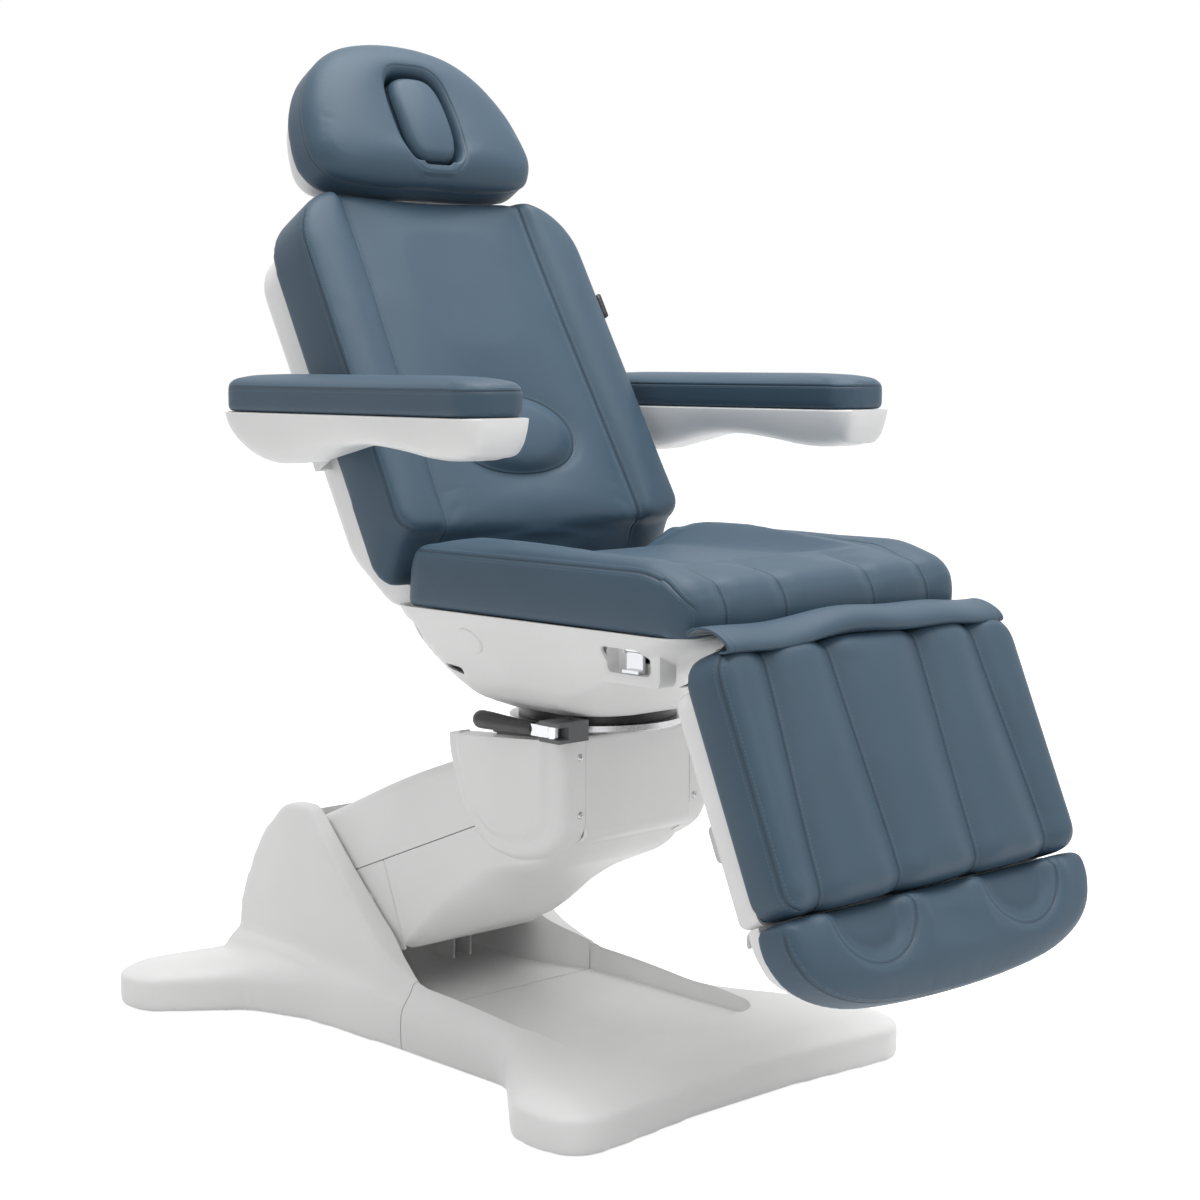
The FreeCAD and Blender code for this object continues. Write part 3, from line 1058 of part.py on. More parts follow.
def make_armrests():
    pivot_y = s.back_pivot_y + s.rest_pivot_s * cosine(s.back_angle) - s.rest_pivot_n * sine(s.back_angle)
    pivot_z = s.back_pivot_z + s.rest_pivot_s * sine(s.back_angle) + s.rest_pivot_n * cosine(s.back_angle)
    for sign, side in ((-1, "right"), (1, "left")):
        x0, x1 = span(sign, s.rest_x - s.rest_wide / 2, s.rest_x + s.rest_wide / 2)
        tray = new_body("tray")
        extrude(tray, "YZ", [(s.rest_front, s.rest_part), (s.rest_front, s.rest_part - 22, 14),
                             (s.rest_front_y - 34, s.rest_front_dip, 24),
                             (s.rest_front_y + 40, s.rest_front_dip, 60),
                             (s.rest_mid_y - 20, s.rest_mid_dip, 90),
                             (s.rest_mid_y + 60, s.rest_mid_dip, 60),
                             (s.rest_rear_y - 20, s.rest_rear_dip, 40),
                             (s.rest_rear_y + 34, s.rest_rear_dip, 40),
                             (s.rest_rear, s.rest_part - 34, 30), (s.rest_rear, s.rest_part)], x0, x1)
        low = s.rest_part.value

        def lower_rim(edge):
            level = edge.BoundBox.XLength < 0.5 and edge.BoundBox.ZMax < low - 1
            at = edge.BoundBox.XMin
            return level and min(abs(at - x0.value), abs(at - x1.value)) < 0.5

        round_edges(tray, s.rest_edge, lower_rim)
        b0, b1 = span(sign, s.stay_x + s.stay_thick + 0.3, s.rest_x - s.rest_wide / 2 + 1)
        boss = bar("x", 0, pivot_y, pivot_z, s.rest_boss, b0, b1)
        b0, b1 = span(sign, s.stay_x, s.rest_x + 0.5)
        bore = bar("x", 0, pivot_y, pivot_z, s.rest_pin + s.running_gap, b0, b1)
        node(cut(fuse(tray, boss), bore), f"armrest_shell_{side}")
        pad = new_body("pad")
        extrude(pad, "XY", rectangle(x0, x1, s.rest_front, s.rest_rear, s.rest_edge * 1.5),
                s.rest_part + s.pad_gap, s.rest_top)
        round_edges(pad, s.rest_edge, at_level("z", s.rest_top))
        node(pad, f"armrest_pad_{side}")


def make_leg():
    pieces = []
    half = s.hinge_wide / 2
    rail_out = s.leg_rail_x + s.leg_rail_wide / 2
    for sign in (1, -1):
        x0, x1 = span(sign, rail_out - s.leg_rail_wide, rail_out)
        pieces.append(box(x0, x1, -s.leg_shell_end + 10, -s.leg_shell_start - 14, s.leg_rail_low,
                          s.leg_rail_top))
        lug = new_body("lug")
        x0, x1 = span(sign, s.leg_hinge_x - half, s.leg_hinge_x + half)
        r = s.hinge_radius * 0.8
        extrude(lug, "YZ", [(-s.leg_shell_start - 50, s.leg_rail_low), (0, -r), (r * 0.8, -r * 0.6),
                            (r * 0.8, r * 0.8, 6),
                            (-r * 0.75, r * 0.8, 6), (-r * 0.75, s.leg_rail_top),
                            (-s.leg_shell_start - 50, s.leg_rail_top)],
                x0, x1)
        pieces.append(lug)
    reach = s.leg_hinge_x + half
    start = -s.leg_shell_start - 50
    pieces.append(box(-reach, reach, start, start + 24, s.leg_rail_low, s.leg_rail_top))
    pieces.append(box(-rail_out, rail_out, -s.leg_shell_end + 10, -s.leg_shell_end + 34, s.leg_rail_low,
                      s.leg_rail_top))
    beam_x0, beam_x1 = -s.drive_x - s.lever_thick / 2, -s.drive_x + s.lever_thick / 2
    pieces.append(box(beam_x0, beam_x1, start, -4, s.leg_rail_low, s.leg_rail_low + 20))
    pieces.append(slotted_lever(-1, s.leg_pivot_z - s.drive_level, s.leg_angle / 2 + 4))
    slide = s.foot_bar_wide / 2 + 0.4
    middle = (s.leg_rail_low + s.leg_rail_top) / 2
    bores = []
    for sign in (1, -1):
        x0, x1 = span(sign, s.leg_hinge_x - s.hinge_wide, s.leg_hinge_x + s.hinge_wide)
        bores.append(bar("x", 0, 0, 0, hinge_bore, x0, x1))
        x0, x1 = span(sign, s.leg_rail_x - slide, s.leg_rail_x + slide)
        bores.append(box(x0, x1, -s.leg_shell_end, -s.foot_bar_start + 4, middle - slide, middle + slide))
    leg_node(cut(fuse(*pieces), *bores), "leg_frame")
    wall = s.shell_wall
    shell = new_body("shell")
    x = s.leg_shell_x
    top = dim(0)
    outline = mirrored([(x, -s.leg_shell_end, s.leg_corner), (x, -s.leg_shell_start, s.leg_corner)])
    extrude(shell, "XY", outline, -s.leg_shell_deep, top)
    inside = mirrored([(x - wall, -s.leg_shell_end + wall, s.leg_corner - wall),
                       (x - wall, -s.leg_shell_start - wall, s.leg_corner - wall)])
    pocket(shell, "XY", inside, -s.leg_shell_deep + wall, top + 1)
    tools = [box(-reach - 2, reach + 2, -s.leg_shell_start - wall - 1, -s.leg_shell_start + 1,
                 -s.leg_shell_deep - 1, top + 1),
             box(-s.drive_x - 8, -s.drive_x + 8, -s.leg_shell_start - 40, -s.leg_shell_start + 1,
                 -s.leg_shell_deep - 1, top + 1)]
    for sign in (1, -1):
        x0, x1 = span(sign, s.leg_rail_x - slide - 2, s.leg_rail_x + slide + 2)
        tools.append(box(x0, x1, -s.leg_shell_end - 1, -s.leg_shell_end + wall + 1, middle - slide - 2,
                         middle + slide + 2))
    leg_node(cut(shell, *tools), "leg_shell")
    cushion = new_body("cushion")
    outline = mirrored([(s.leg_x, -s.leg_end, s.leg_corner), (s.leg_x, -s.leg_start, s.leg_corner)])
    extrude(cushion, "XY", outline, s.pad_gap, s.leg_thick)
    round_edges(cushion, s.leg_edge, at_level("z", s.leg_thick))
    leg_node(cushion, "leg_cushion")


def foot_outline(inset):
    x = s.foot_x - inset
    return mirrored([(s.foot_bend, -s.foot_end + inset, 160 - inset), (x, -s.foot_side - 30, 55 - inset),
                     (x, -s.foot_start - inset, 12)])


def make_foot():
    middle = (s.leg_rail_low + s.leg_rail_top) / 2
    half = s.foot_bar_wide / 2
    high = dim(0)
    bars = [box(-s.leg_rail_x - half, s.leg_rail_x + half, -s.foot_start - 44, -s.foot_start - 20,
                middle - half, middle + half)]
    for sign in (1, -1):
        x0, x1 = span(sign, s.leg_rail_x - half, s.leg_rail_x + half)
        bars.append(box(x0, x1, -s.foot_start - 44, -s.foot_bar_start, middle - half, middle + half))
    leg_node(fuse(*bars), "foot_slide_bars")
    wall = s.shell_wall
    shell = new_body("shell")
    extrude(shell, "XY", foot_outline(dim(14)), s.foot_shell_low, high)
    pocket(shell, "XY", foot_outline(14 + wall), s.foot_shell_low + wall, high + 1)
    tools = []
    for sign in (1, -1):
        x0, x1 = span(sign, s.leg_rail_x - half - 0.3, s.leg_rail_x + half + 0.3)
        tools.append(box(x0, x1, -s.foot_start - 14 - wall - 1, -s.foot_start, middle - half - 0.3,
                         middle + half + 0.3))
    leg_node(cut(shell, *tools), "foot_shell")
    cushion = new_body("cushion")
    extrude(cushion, "XY", foot_outline(dim(0)), s.pad_gap, s.foot_thick)
    round_edges(cushion, s.leg_edge * 0.45, at_level("z", s.foot_thick))
    leg_node(cushion, "foot_cushion")
    deep = -s.leg_shell_deep
    paddle = new_body("paddle")
    x = -s.paddle_x
    extrude(paddle, "XY", rectangle(x - s.paddle_wide / 2, x + s.paddle_wide / 2,
                                    -s.paddle_s - s.paddle_long / 2,
                                    -s.paddle_s + s.paddle_long / 2, 8),
            deep - s.pad_gap - s.paddle_thick, deep - s.pad_gap)
    leg_node(paddle, "foot_release_paddle")


def make_drive(label, side, case_start, case_end, tail, pin_y, pin_end):
    """A linear drive in the pan: a case on the seat frame and a rod.

    The rod's cross pin works in a slotted lever.
    """
    x = side * s.rod_side
    level = s.drive_level
    gap = s.rod_clear
    case = bar("y", x, 0, level, s.drive_radius, case_start, case_end)
    if label == "back":
        bore = bar("y", x, 0, level, s.drive_rod + gap, tail, case_end + 1)
        rod = bar("y", x, 0, level, s.drive_rod, tail + 70, pin_end)
    else:
        bore = bar("y", x, 0, level, s.drive_rod + gap, case_start - 1, tail)
        rod = bar("y", x, 0, level, s.drive_rod, pin_end, tail - 30)
    node(cut(case, bore), f"{label}_motor")
    x0, x1 = span(side, s.rod_side, s.drive_x + s.lever_thick / 2 + 4)
    pin = bar("x", 0, pin_y, level, s.drive_pin, x0, x1)
    node(fuse(rod, pin), f"{label}_drive_rod")


def make_latches():
    """Finger levers in the openings at the front of the pan, each on a block of the pan."""
    blocks = []
    middle = (s.latch_front + s.latch_rear) / 2
    for sign, side in ((-1, "right"), (1, "left")):
        x0, x1 = span(sign, s.seat_rail_x + s.seat_rail_wide / 2, s.latch_x - 6)
        block = box(x0, x1, middle - 20, middle + 20, s.latch_high - 24, s.latch_high)
        pin_x = sign * (s.latch_x + 2)
        b0, b1 = span(sign, s.latch_x - 7, s.latch_x + 8)
        cheeks = [box(b0, b1, y, y + 5, s.latch_high - 12, s.latch_high) for y in (middle - 20,
                                                                                   middle + 15)]
        pin = bar("y", pin_x, 0, s.latch_high - 6, dim(3), middle - 20, middle + 20)
        blocks.append(fuse(block, *cheeks, pin))
        eye = bar("y", pin_x, 0, s.latch_high - 6, dim(5.5), middle - 14.5, middle + 14.5)
        b0, b1 = span(sign, s.latch_x, s.latch_x + 4)
        plate = box(b0, b1, middle - 14.5, middle + 14.5, s.latch_low + 4, s.latch_high - 6)
        foot0, foot1 = span(sign, s.latch_x, s.latch_x + 12)
        lip = box(foot0, foot1, middle - 14.5, middle + 14.5, s.latch_low + 4, s.latch_low + 8)
        bore = bar("y", pin_x, 0, s.latch_high - 6, 3 + s.running_gap, middle - 20, middle + 20)
        node(cut(fuse(eye, plate, lip), bore), f"latch_{side}")
    node(group(*blocks), "latch_blocks")


def make_flap():
    strip = new_body("flap")
    r = s.flap_radius
    thin = s.flap_thick
    extrude(strip, "YZ", [(-r, -r * 5), (-r + thin, -r * 5), (-r + thin, -thin), (r - thin, -thin),
                          (r - thin, -r * 2),
                          (r, -r * 2), (r, 0, r * 0.6), (-r, 0, r * 0.6)], -s.flap_x, s.flap_x)
    node(strip, "leg_flap", 0, s.flap_y, s.flap_z)


make_base_frame()
make_front_cover()
make_rear_cover()
make_base_fittings()
make_lift_arm()
make_lift_links()
make_lift_drive()
make_head()
make_brake()
make_seat_frame(make_pan())
make_seat_cushion()
make_back()
make_headrest()
make_armrests()
make_leg()
make_foot()
make_drive("back", 1, -150, 80, -115, s.back_pin_y, s.back_pin_y + 8)
make_drive("leg", -1, -280, 20, -110, s.leg_pin_y, s.leg_pin_y - 8)
make_latches()
make_flap()
doc.recompute()

for thing in doc.Objects:
    if "Invalid" in thing.State or "Error" in thing.State:
        raise ValueError(f"{thing.Label} failed: {thing.State}")
for piece in nodes:
    if piece.Shape.isNull() or not piece.Shape.isValid():
        raise ValueError(f"{piece.Label} has no valid shape")
os.makedirs("parts", exist_ok=True)
for piece in nodes:
    piece.Shape.exportStep(f"parts/{piece.Label}.step")
print(f"{len(nodes)} pieces")
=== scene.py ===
# %% [markdown]
# # A treatment table
# An electric treatment chair: a moulded base, a lifting arm, a seat on a swivel, and an
# upholstered back, headrest, armrests, leg section and foot section.
# The lesson rebuilds its outside. Every piece stands in the same frame as the construction
# model: the floor is z = 0, the swivel axis is x = y = 0, and the sitter looks along -Y.

# %% Set up
import json
import math

import bmesh
import bpy
import numpy as np
from mathutils import Matrix, Vector


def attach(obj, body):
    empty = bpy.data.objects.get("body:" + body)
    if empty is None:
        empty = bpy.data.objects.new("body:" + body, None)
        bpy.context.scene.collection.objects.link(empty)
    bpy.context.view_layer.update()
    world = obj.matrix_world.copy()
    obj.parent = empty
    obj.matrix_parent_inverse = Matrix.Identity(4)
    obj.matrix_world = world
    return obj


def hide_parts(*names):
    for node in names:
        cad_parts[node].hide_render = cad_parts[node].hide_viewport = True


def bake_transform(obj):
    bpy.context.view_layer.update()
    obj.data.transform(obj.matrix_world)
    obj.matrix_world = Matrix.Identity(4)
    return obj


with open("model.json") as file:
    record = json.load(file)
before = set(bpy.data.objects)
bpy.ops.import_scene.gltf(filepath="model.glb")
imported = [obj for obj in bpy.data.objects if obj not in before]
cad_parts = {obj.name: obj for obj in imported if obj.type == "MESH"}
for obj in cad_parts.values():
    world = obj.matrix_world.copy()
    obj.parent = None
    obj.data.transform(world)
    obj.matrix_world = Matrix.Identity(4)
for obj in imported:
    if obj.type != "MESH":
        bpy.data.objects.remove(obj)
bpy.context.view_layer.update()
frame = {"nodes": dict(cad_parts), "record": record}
MM = 0.001

# %% [markdown]
# ## Frames of the tilted sections
# The back, the leg section and the lift arm are easier to draw flat. Each has a frame of its
# own: x across, s along the section, n out of its padded face.

# %% Section frames
FLAT = Matrix.Identity(4)


def tilted(y, z, degrees):
    """Frame at a hinge line, turned about X."""
    return Matrix.Translation((0, y * MM, z * MM)) @ Matrix.Rotation(math.radians(degrees), 4, "X")


BACK = tilted(135, 640, 60.8)
LEG = tilted(-435, 652, 66.8) @ Matrix.Diagonal((1, -1, 1, 1))
ARM = tilted(480, 215, -21.3) @ Matrix.Diagonal((1, -1, 1, 1))

# %% [markdown]
# ## Camera
# The photo was taken with a long lens from the front and the sitter's right, a little above
# the seat. These values put the construction model's corners on the photo's corners.

# %% Camera
camera_data = bpy.data.cameras.new("camera")
camera_data.lens = 68.07
camera_data.sensor_width = 36
camera = bpy.data.objects.new("camera", camera_data)
bpy.context.scene.collection.objects.link(camera)
camera.location = (-2.161, -2.327, 0.997)
yaw, pitch = math.radians(42.94), math.radians(6.12)
aim = Vector((math.sin(yaw) * math.cos(pitch), math.cos(yaw) * math.cos(pitch), -math.sin(pitch)))
camera.rotation_euler = aim.to_track_quat("-Z", "Y").to_euler()
bpy.context.scene.camera = camera
bpy.context.scene.view_settings.view_transform = "Standard"
print("camera at", tuple(camera.location))

# %% [markdown]
# ## Materials
# All looks are procedural. A small helper wires nodes, so that each material below reads as a
# short recipe.

# %% Node helper


class Recipe:
    """Wires the node tree of one material."""

    def __init__(self, name, **values):
        self.material = bpy.data.materials.new(name)
        self.material.use_nodes = True
        self.tree = self.material.node_tree
        self.shader = self.tree.nodes["Principled BSDF"]
        for key, value in values.items():
            self.shader.inputs[key.replace("_", " ").title()].default_value = value

    def add(self, kind, **inputs):
        node = self.tree.nodes.new("ShaderNode" + kind)
        for key, value in inputs.items():
            self.put(value, node.inputs[key.replace("_", " ")])
        return node

    def put(self, value, socket):
        if hasattr(value, "is_output"):
            self.tree.links.new(value, socket)
        else:
            socket.default_value = value

    def math(self, operation, first, second=0.0, third=0.0):
        node = self.tree.nodes.new("ShaderNodeMath")
        node.operation = operation
        for socket, value in zip(node.inputs, (first, second, third)):
            self.put(value, socket)
        return node.outputs[0]

    def attribute(self, name):
        node = self.tree.nodes.new("ShaderNodeAttribute")
        node.attribute_name = name
        return node.outputs["Vector"]

    def noise(self, scale, detail=2.0, place=None):
        place = place or self.add("TexCoord").outputs["Object"]
        node = self.add("TexNoise", Vector=place, Scale=scale, Detail=detail)
        return node.outputs[0]

    def ramp(self, value, low, high, start, end):
        node = self.tree.nodes.new("ShaderNodeMapRange")
        node.interpolation_type = "SMOOTHSTEP"
        for socket, item in zip(node.inputs, (value, low, high, start, end)):
            self.put(item, socket)
        return node.outputs[0]

    def mix(self, factor, first, second):
        node = self.tree.nodes.new("ShaderNodeMix")
        node.data_type = "RGBA"
        self.put(factor, node.inputs[0])
        self.put(first, node.inputs[6])
        self.put(second, node.inputs[7])
        return node.outputs[2]

    def bump(self, height, distance, strength=1.0):
        node = self.add("Bump", Strength=strength, Distance=distance, Height=height)
        self.tree.links.new(node.outputs[0], self.shader.inputs["Normal"])

    def colour(self, value):
        self.put(value, self.shader.inputs["Base Color"])

    def roughness(self, value):
        self.put(value, self.shader.inputs["Roughness"])


# %% [markdown]
# The cover is coated fabric with a fine grain. Each cushion carries its sewing as numbers on
# its points: the distance to three seams, how strongly each shows, and the length run along
# it. The material turns these into a groove with a row of stitches on each side.

# %% Upholstery


def make_upholstery(name, tone, shade):
    r = Recipe(name, roughness=0.5)
    r.put(0.34, r.shader.inputs["Specular IOR Level"])
    seam = r.add("SeparateXYZ", Vector=r.attribute("seam")).outputs
    keep = r.add("SeparateXYZ", Vector=r.attribute("keep")).outputs
    run = r.add("SeparateXYZ", Vector=r.attribute("run")).outputs
    groove, thread = 0.0, 0.0
    for k in range(3):
        near = r.math("ABSOLUTE", seam[k])
        valley = r.math("EXPONENT", r.math("MULTIPLY", r.math("POWER", r.math("DIVIDE", near, 1.5), 2), -1))
        groove = r.math("ADD", groove, r.math("MULTIPLY", valley, keep[k]))
        row = r.ramp(r.math("ABSOLUTE", r.math("SUBTRACT", near, 4.6)), 0.3, 0.9, 1.0, 0.0)
        dash = r.ramp(r.math("PINGPONG", run[k], 2.6), 0.7, 1.2, 0.0, 1.0)
        thread = r.math("ADD", thread, r.math("MULTIPLY", r.math("MULTIPLY", row, dash), keep[k]))
    grain = r.noise(900, 3)
    cloud = r.noise(9, 2)
    body = r.mix(r.ramp(cloud, 0.3, 0.7, 0.0, 1.0), shade, tone)
    body = r.mix(r.math("MULTIPLY", thread, 0.35), body, (0.12, 0.18, 0.23, 1))
    shadow = r.math("MINIMUM", r.math("MULTIPLY", groove, 0.42), 0.6)
    r.colour(r.mix(shadow, body, (0.012, 0.018, 0.024, 1)))
    height = r.math("SUBTRACT", r.math("MULTIPLY", grain, 0.10), r.math("MULTIPLY", groove, 1.2))
    height = r.math("ADD", height, r.math("MULTIPLY", thread, 0.25))
    r.bump(height, 0.0011)
    r.roughness(r.ramp(grain, 0.3, 0.7, 0.44, 0.56))
    return r.material


UPHOLSTERY = make_upholstery("slate upholstery", (0.050, 0.089, 0.129, 1), (0.047, 0.084, 0.122, 1))

# %% [markdown]
# The shells are off-white moulded plastic with a very fine texture. The metals and the black
# plastic differ in colour, roughness and brushing.

# %% Plastics and metals


def make_plastic(name, colour, rough, grain=0.00006):
    r = Recipe(name, roughness=rough)
    r.bump(r.noise(1400, 2), grain)
    dusky = tuple(c * 0.965 for c in colour[:3]) + (1,)
    r.colour(r.mix(r.ramp(r.noise(5, 2), 0.35, 0.65, 0, 1), colour, dusky))
    r.roughness(r.ramp(r.noise(60, 3), 0.3, 0.7, rough * 0.9, rough * 1.1))
    return r.material


def make_metal(name, colour, rough, stretch):
    r = Recipe(name, metallic=1.0)
    place = r.add("Mapping", Vector=r.add("TexCoord").outputs["Object"], Scale=stretch).outputs[0]
    line = r.noise(300, 3, place)
    r.colour(colour)
    r.roughness(r.ramp(line, 0.3, 0.7, rough * 0.75, rough * 1.25))
    r.bump(line, 0.00004)
    return r.material


WHITE = make_plastic("white shell", (0.90, 0.90, 0.895, 1), 0.42)
BLACK = make_plastic("black plastic", (0.012, 0.012, 0.013, 1), 0.38)
GREY = make_plastic("grey plastic", (0.62, 0.63, 0.64, 1), 0.45)
RUBBER = make_plastic("rubber", (0.02, 0.02, 0.02, 1), 0.75, 0.0002)
PAINT = make_plastic("frame paint", (0.12, 0.122, 0.126, 1), 0.5, 0.0001)
STEEL = make_metal("bright steel", (0.50, 0.50, 0.51, 1), 0.32, (1, 6, 1))
CHROME = make_metal("chrome", (0.66, 0.67, 0.69, 1), 0.09, (1, 1, 1))
print("materials", len(bpy.data.materials))

# %% [markdown]
# ## Drawing helpers
# Outlines are drawn in millimetres as corners with radii, then walked at even steps. Closed
# forms come from rings of points.

# %% Outline helpers


def rounded(corners, step=6.0):
    """Closed loop of points through corners (x, y, radius), evenly spaced."""
    path = []
    count = len(corners)
    for i, (x, y, radius) in enumerate(corners):
        here = np.array((x, y), float)
        back = np.array(corners[i - 1][:2], float) - here
        ahead = np.array(corners[(i + 1) % count][:2], float) - here
        back /= np.linalg.norm(back)
        ahead /= np.linalg.norm(ahead)
        half = math.acos(float(np.clip(back @ ahead, -1, 1))) / 2
        if radius <= 0 or half > 1.56:
            path.append(here)
            continue
        reach = radius / math.tan(half)
        middle = here + (back + ahead) / np.linalg.norm(back + ahead) * radius / math.sin(half)
        first, last = here + back * reach, here + ahead * reach
        a0 = math.atan2(*(first - middle)[::-1])
        a1 = math.atan2(*(last - middle)[::-1])
        turn = (a1 - a0 + math.pi) % (2 * math.pi) - math.pi
        for k in range(13):
            angle = a0 + turn * k / 12
            path.append(middle + radius * np.array((math.cos(angle), math.sin(angle))))
    return walk(np.array(path), step)


def walk(path, step):
    """The closed path at even steps."""
    closed = np.vstack([path, path[:1]])
    lengths = np.r_[0, np.cumsum(np.linalg.norm(np.diff(closed, axis=0), axis=1))]
    count = max(24, int(round(lengths[-1] / step)))
    at = np.linspace(0, lengths[-1], count, endpoint=False)
    return np.column_stack([np.interp(at, lengths, closed[:, k]) for k in range(2)])


def inset(loop, amount):
    """The loop moved inwards by an amount."""
    ahead = np.roll(loop, -1, 0) - np.roll(loop, 1, 0)
    normal = np.column_stack([-ahead[:, 1], ahead[:, 0]])
    normal /= np.linalg.norm(normal, axis=1)[:, None]
    area = np.sum(loop[:, 0] * np.roll(loop[:, 1], -1) - np.roll(loop[:, 0], -1) * loop[:, 1])
    return loop + normal * amount * np.sign(area)


def mirror_half(half):
    """Corners of the +x half, from bottom to top, with their mirror image."""
    return list(half) + [(-x, y, r) for x, y, r in reversed(half)]


# %% [markdown]
# Smooth steps and bumps shape the cushions: they are plain functions of the position on the
# section.

# %% Shape functions


def step(value, low, high):
    t = np.clip((value - low) / (high - low), 0, 1)
    return t * t * (3 - 2 * t)


def bell(value, width):
    return np.exp(-(value / width) ** 2)


# %% [markdown]
# These helpers turn rings of points into meshes, read and write a mesh's points, and make the
# result of modifiers the mesh itself.

# %% Mesh helpers


def mesh_object(name, bm, material):
    mesh = bpy.data.meshes.new(name)
    bmesh.ops.recalc_face_normals(bm, faces=bm.faces[:])
    bm.to_mesh(mesh)
    bm.free()
    for polygon in mesh.polygons:
        polygon.use_smooth = True
    mesh.materials.append(material)
    item = bpy.data.objects.new(name, mesh)
    bpy.context.scene.collection.objects.link(item)
    return item


def rings_bmesh(rings, matrix=FLAT, cyclic=False):
    """Skin over rings of equal count, each an array of (x, s, n) in millimetres."""
    bm = bmesh.new()
    rows = [[bm.verts.new(matrix @ Vector(p * MM)) for p in np.asarray(ring, float)] for ring in rings]
    pairs = list(zip(rows, rows[1:])) + ([(rows[-1], rows[0])] if cyclic else [])
    for low, high in pairs:
        for i in range(len(low)):
            j = (i + 1) % len(low)
            bm.faces.new((low[i], low[j], high[j], high[i]))
    if not cyclic:
        caps = [bm.faces.new(rows[0][::-1]), bm.faces.new(rows[-1])]
        bmesh.ops.triangulate(bm, faces=caps)
    return bm


def level(loop, n):
    return np.column_stack([loop, np.full(len(loop), float(n))])


def pad_rings(loop, low, high, top=26.0, under=8.0):
    """Rings of a pad: a rolled lower edge, a wall and a rolled upper edge."""
    rings = []
    for k in range(4):
        a = math.pi / 2 * k / 3
        rings.append(level(inset(loop, under * (1 - math.sin(a))), low + under * (1 - math.cos(a))))
    for k in range(9):
        a = math.pi / 2 * k / 8
        rings.append(level(inset(loop, top * (1 - math.cos(a))), high - top * (1 - math.sin(a))))
    return rings


def points_of(item):
    flat = np.empty(len(item.data.vertices) * 3)
    item.data.vertices.foreach_get("co", flat)
    return flat.reshape(-1, 3)


def set_points(item, points):
    item.data.vertices.foreach_set("co", points.ravel())
    item.data.update()


def write_vectors(item, name, values):
    layer = item.data.attributes.get(name) or item.data.attributes.new(name, "FLOAT_VECTOR", "POINT")
    layer.data.foreach_set("vector", np.ascontiguousarray(values, float).ravel())


def read_vectors(item, name):
    flat = np.empty(len(item.data.vertices) * 3)
    item.data.attributes[name].data.foreach_get("vector", flat)
    return flat.reshape(-1, 3)


def bake(item):
    """Makes the modifiers' result the object's own mesh."""
    graph = bpy.context.evaluated_depsgraph_get()
    mesh = bpy.data.meshes.new_from_object(item.evaluated_get(graph))
    item.modifiers.clear()
    old = item.data
    item.data = mesh
    bpy.data.meshes.remove(old)


def modify(item, kind, **values):
    modifier = item.modifiers.new(kind.lower(), kind)
    for key, value in values.items():
        setattr(modifier, key, value)
    return modifier


# %% [markdown]
# ## How a cushion is made
# A real cushion is foam under a sewn cover. The foam pushes the cover out, and the seams hold
# it down. So each cushion starts as a closed form, gets an even mesh, is shaped, and is then
# blown up a little as cloth that is pinned along its seams.

# %% Cushion


def inflate(item, held, limit, pressure=4.0):
    """Cloth blown up from inside, held where held is 1, moving at most limit millimetres."""
    start = points_of(item)
    group = item.vertex_groups.new(name="held")
    for above, weight in ((0.4, 0.6), (0.8, 1.0)):
        group.add(np.flatnonzero(held > above).tolist(), weight, "REPLACE")
    cloth = modify(item, "CLOTH")
    settings = cloth.settings
    settings.vertex_group_mass = "held"
    settings.use_pressure = True
    settings.uniform_pressure_force = pressure
    settings.quality = 4
    settings.effector_weights.gravity = 0
    cloth.point_cache.frame_start = 1
    cloth.point_cache.frame_end = 20
    scene = bpy.context.scene
    for number in range(1, 21):
        scene.frame_set(number)
    bake(item)
    scene.frame_set(1)
    moved = points_of(item) - start
    length = np.linalg.norm(moved, axis=1)[:, None]
    cap = limit * MM
    set_points(item, start + moved * np.minimum(1, cap / np.maximum(length, 1e-9)))
    item.vertex_groups.clear()


def fit(item, wanted, top):
    """Stretches the item to the wanted box, in millimetres, with its own top."""
    points = points_of(item)
    low, high = points.min(0), points.max(0)
    to_low, to_high = wanted.min(0) * MM, wanted.max(0) * MM
    to_high[2] = top * MM
    set_points(item, to_low + (points - low) / (high - low) * (to_high - to_low))


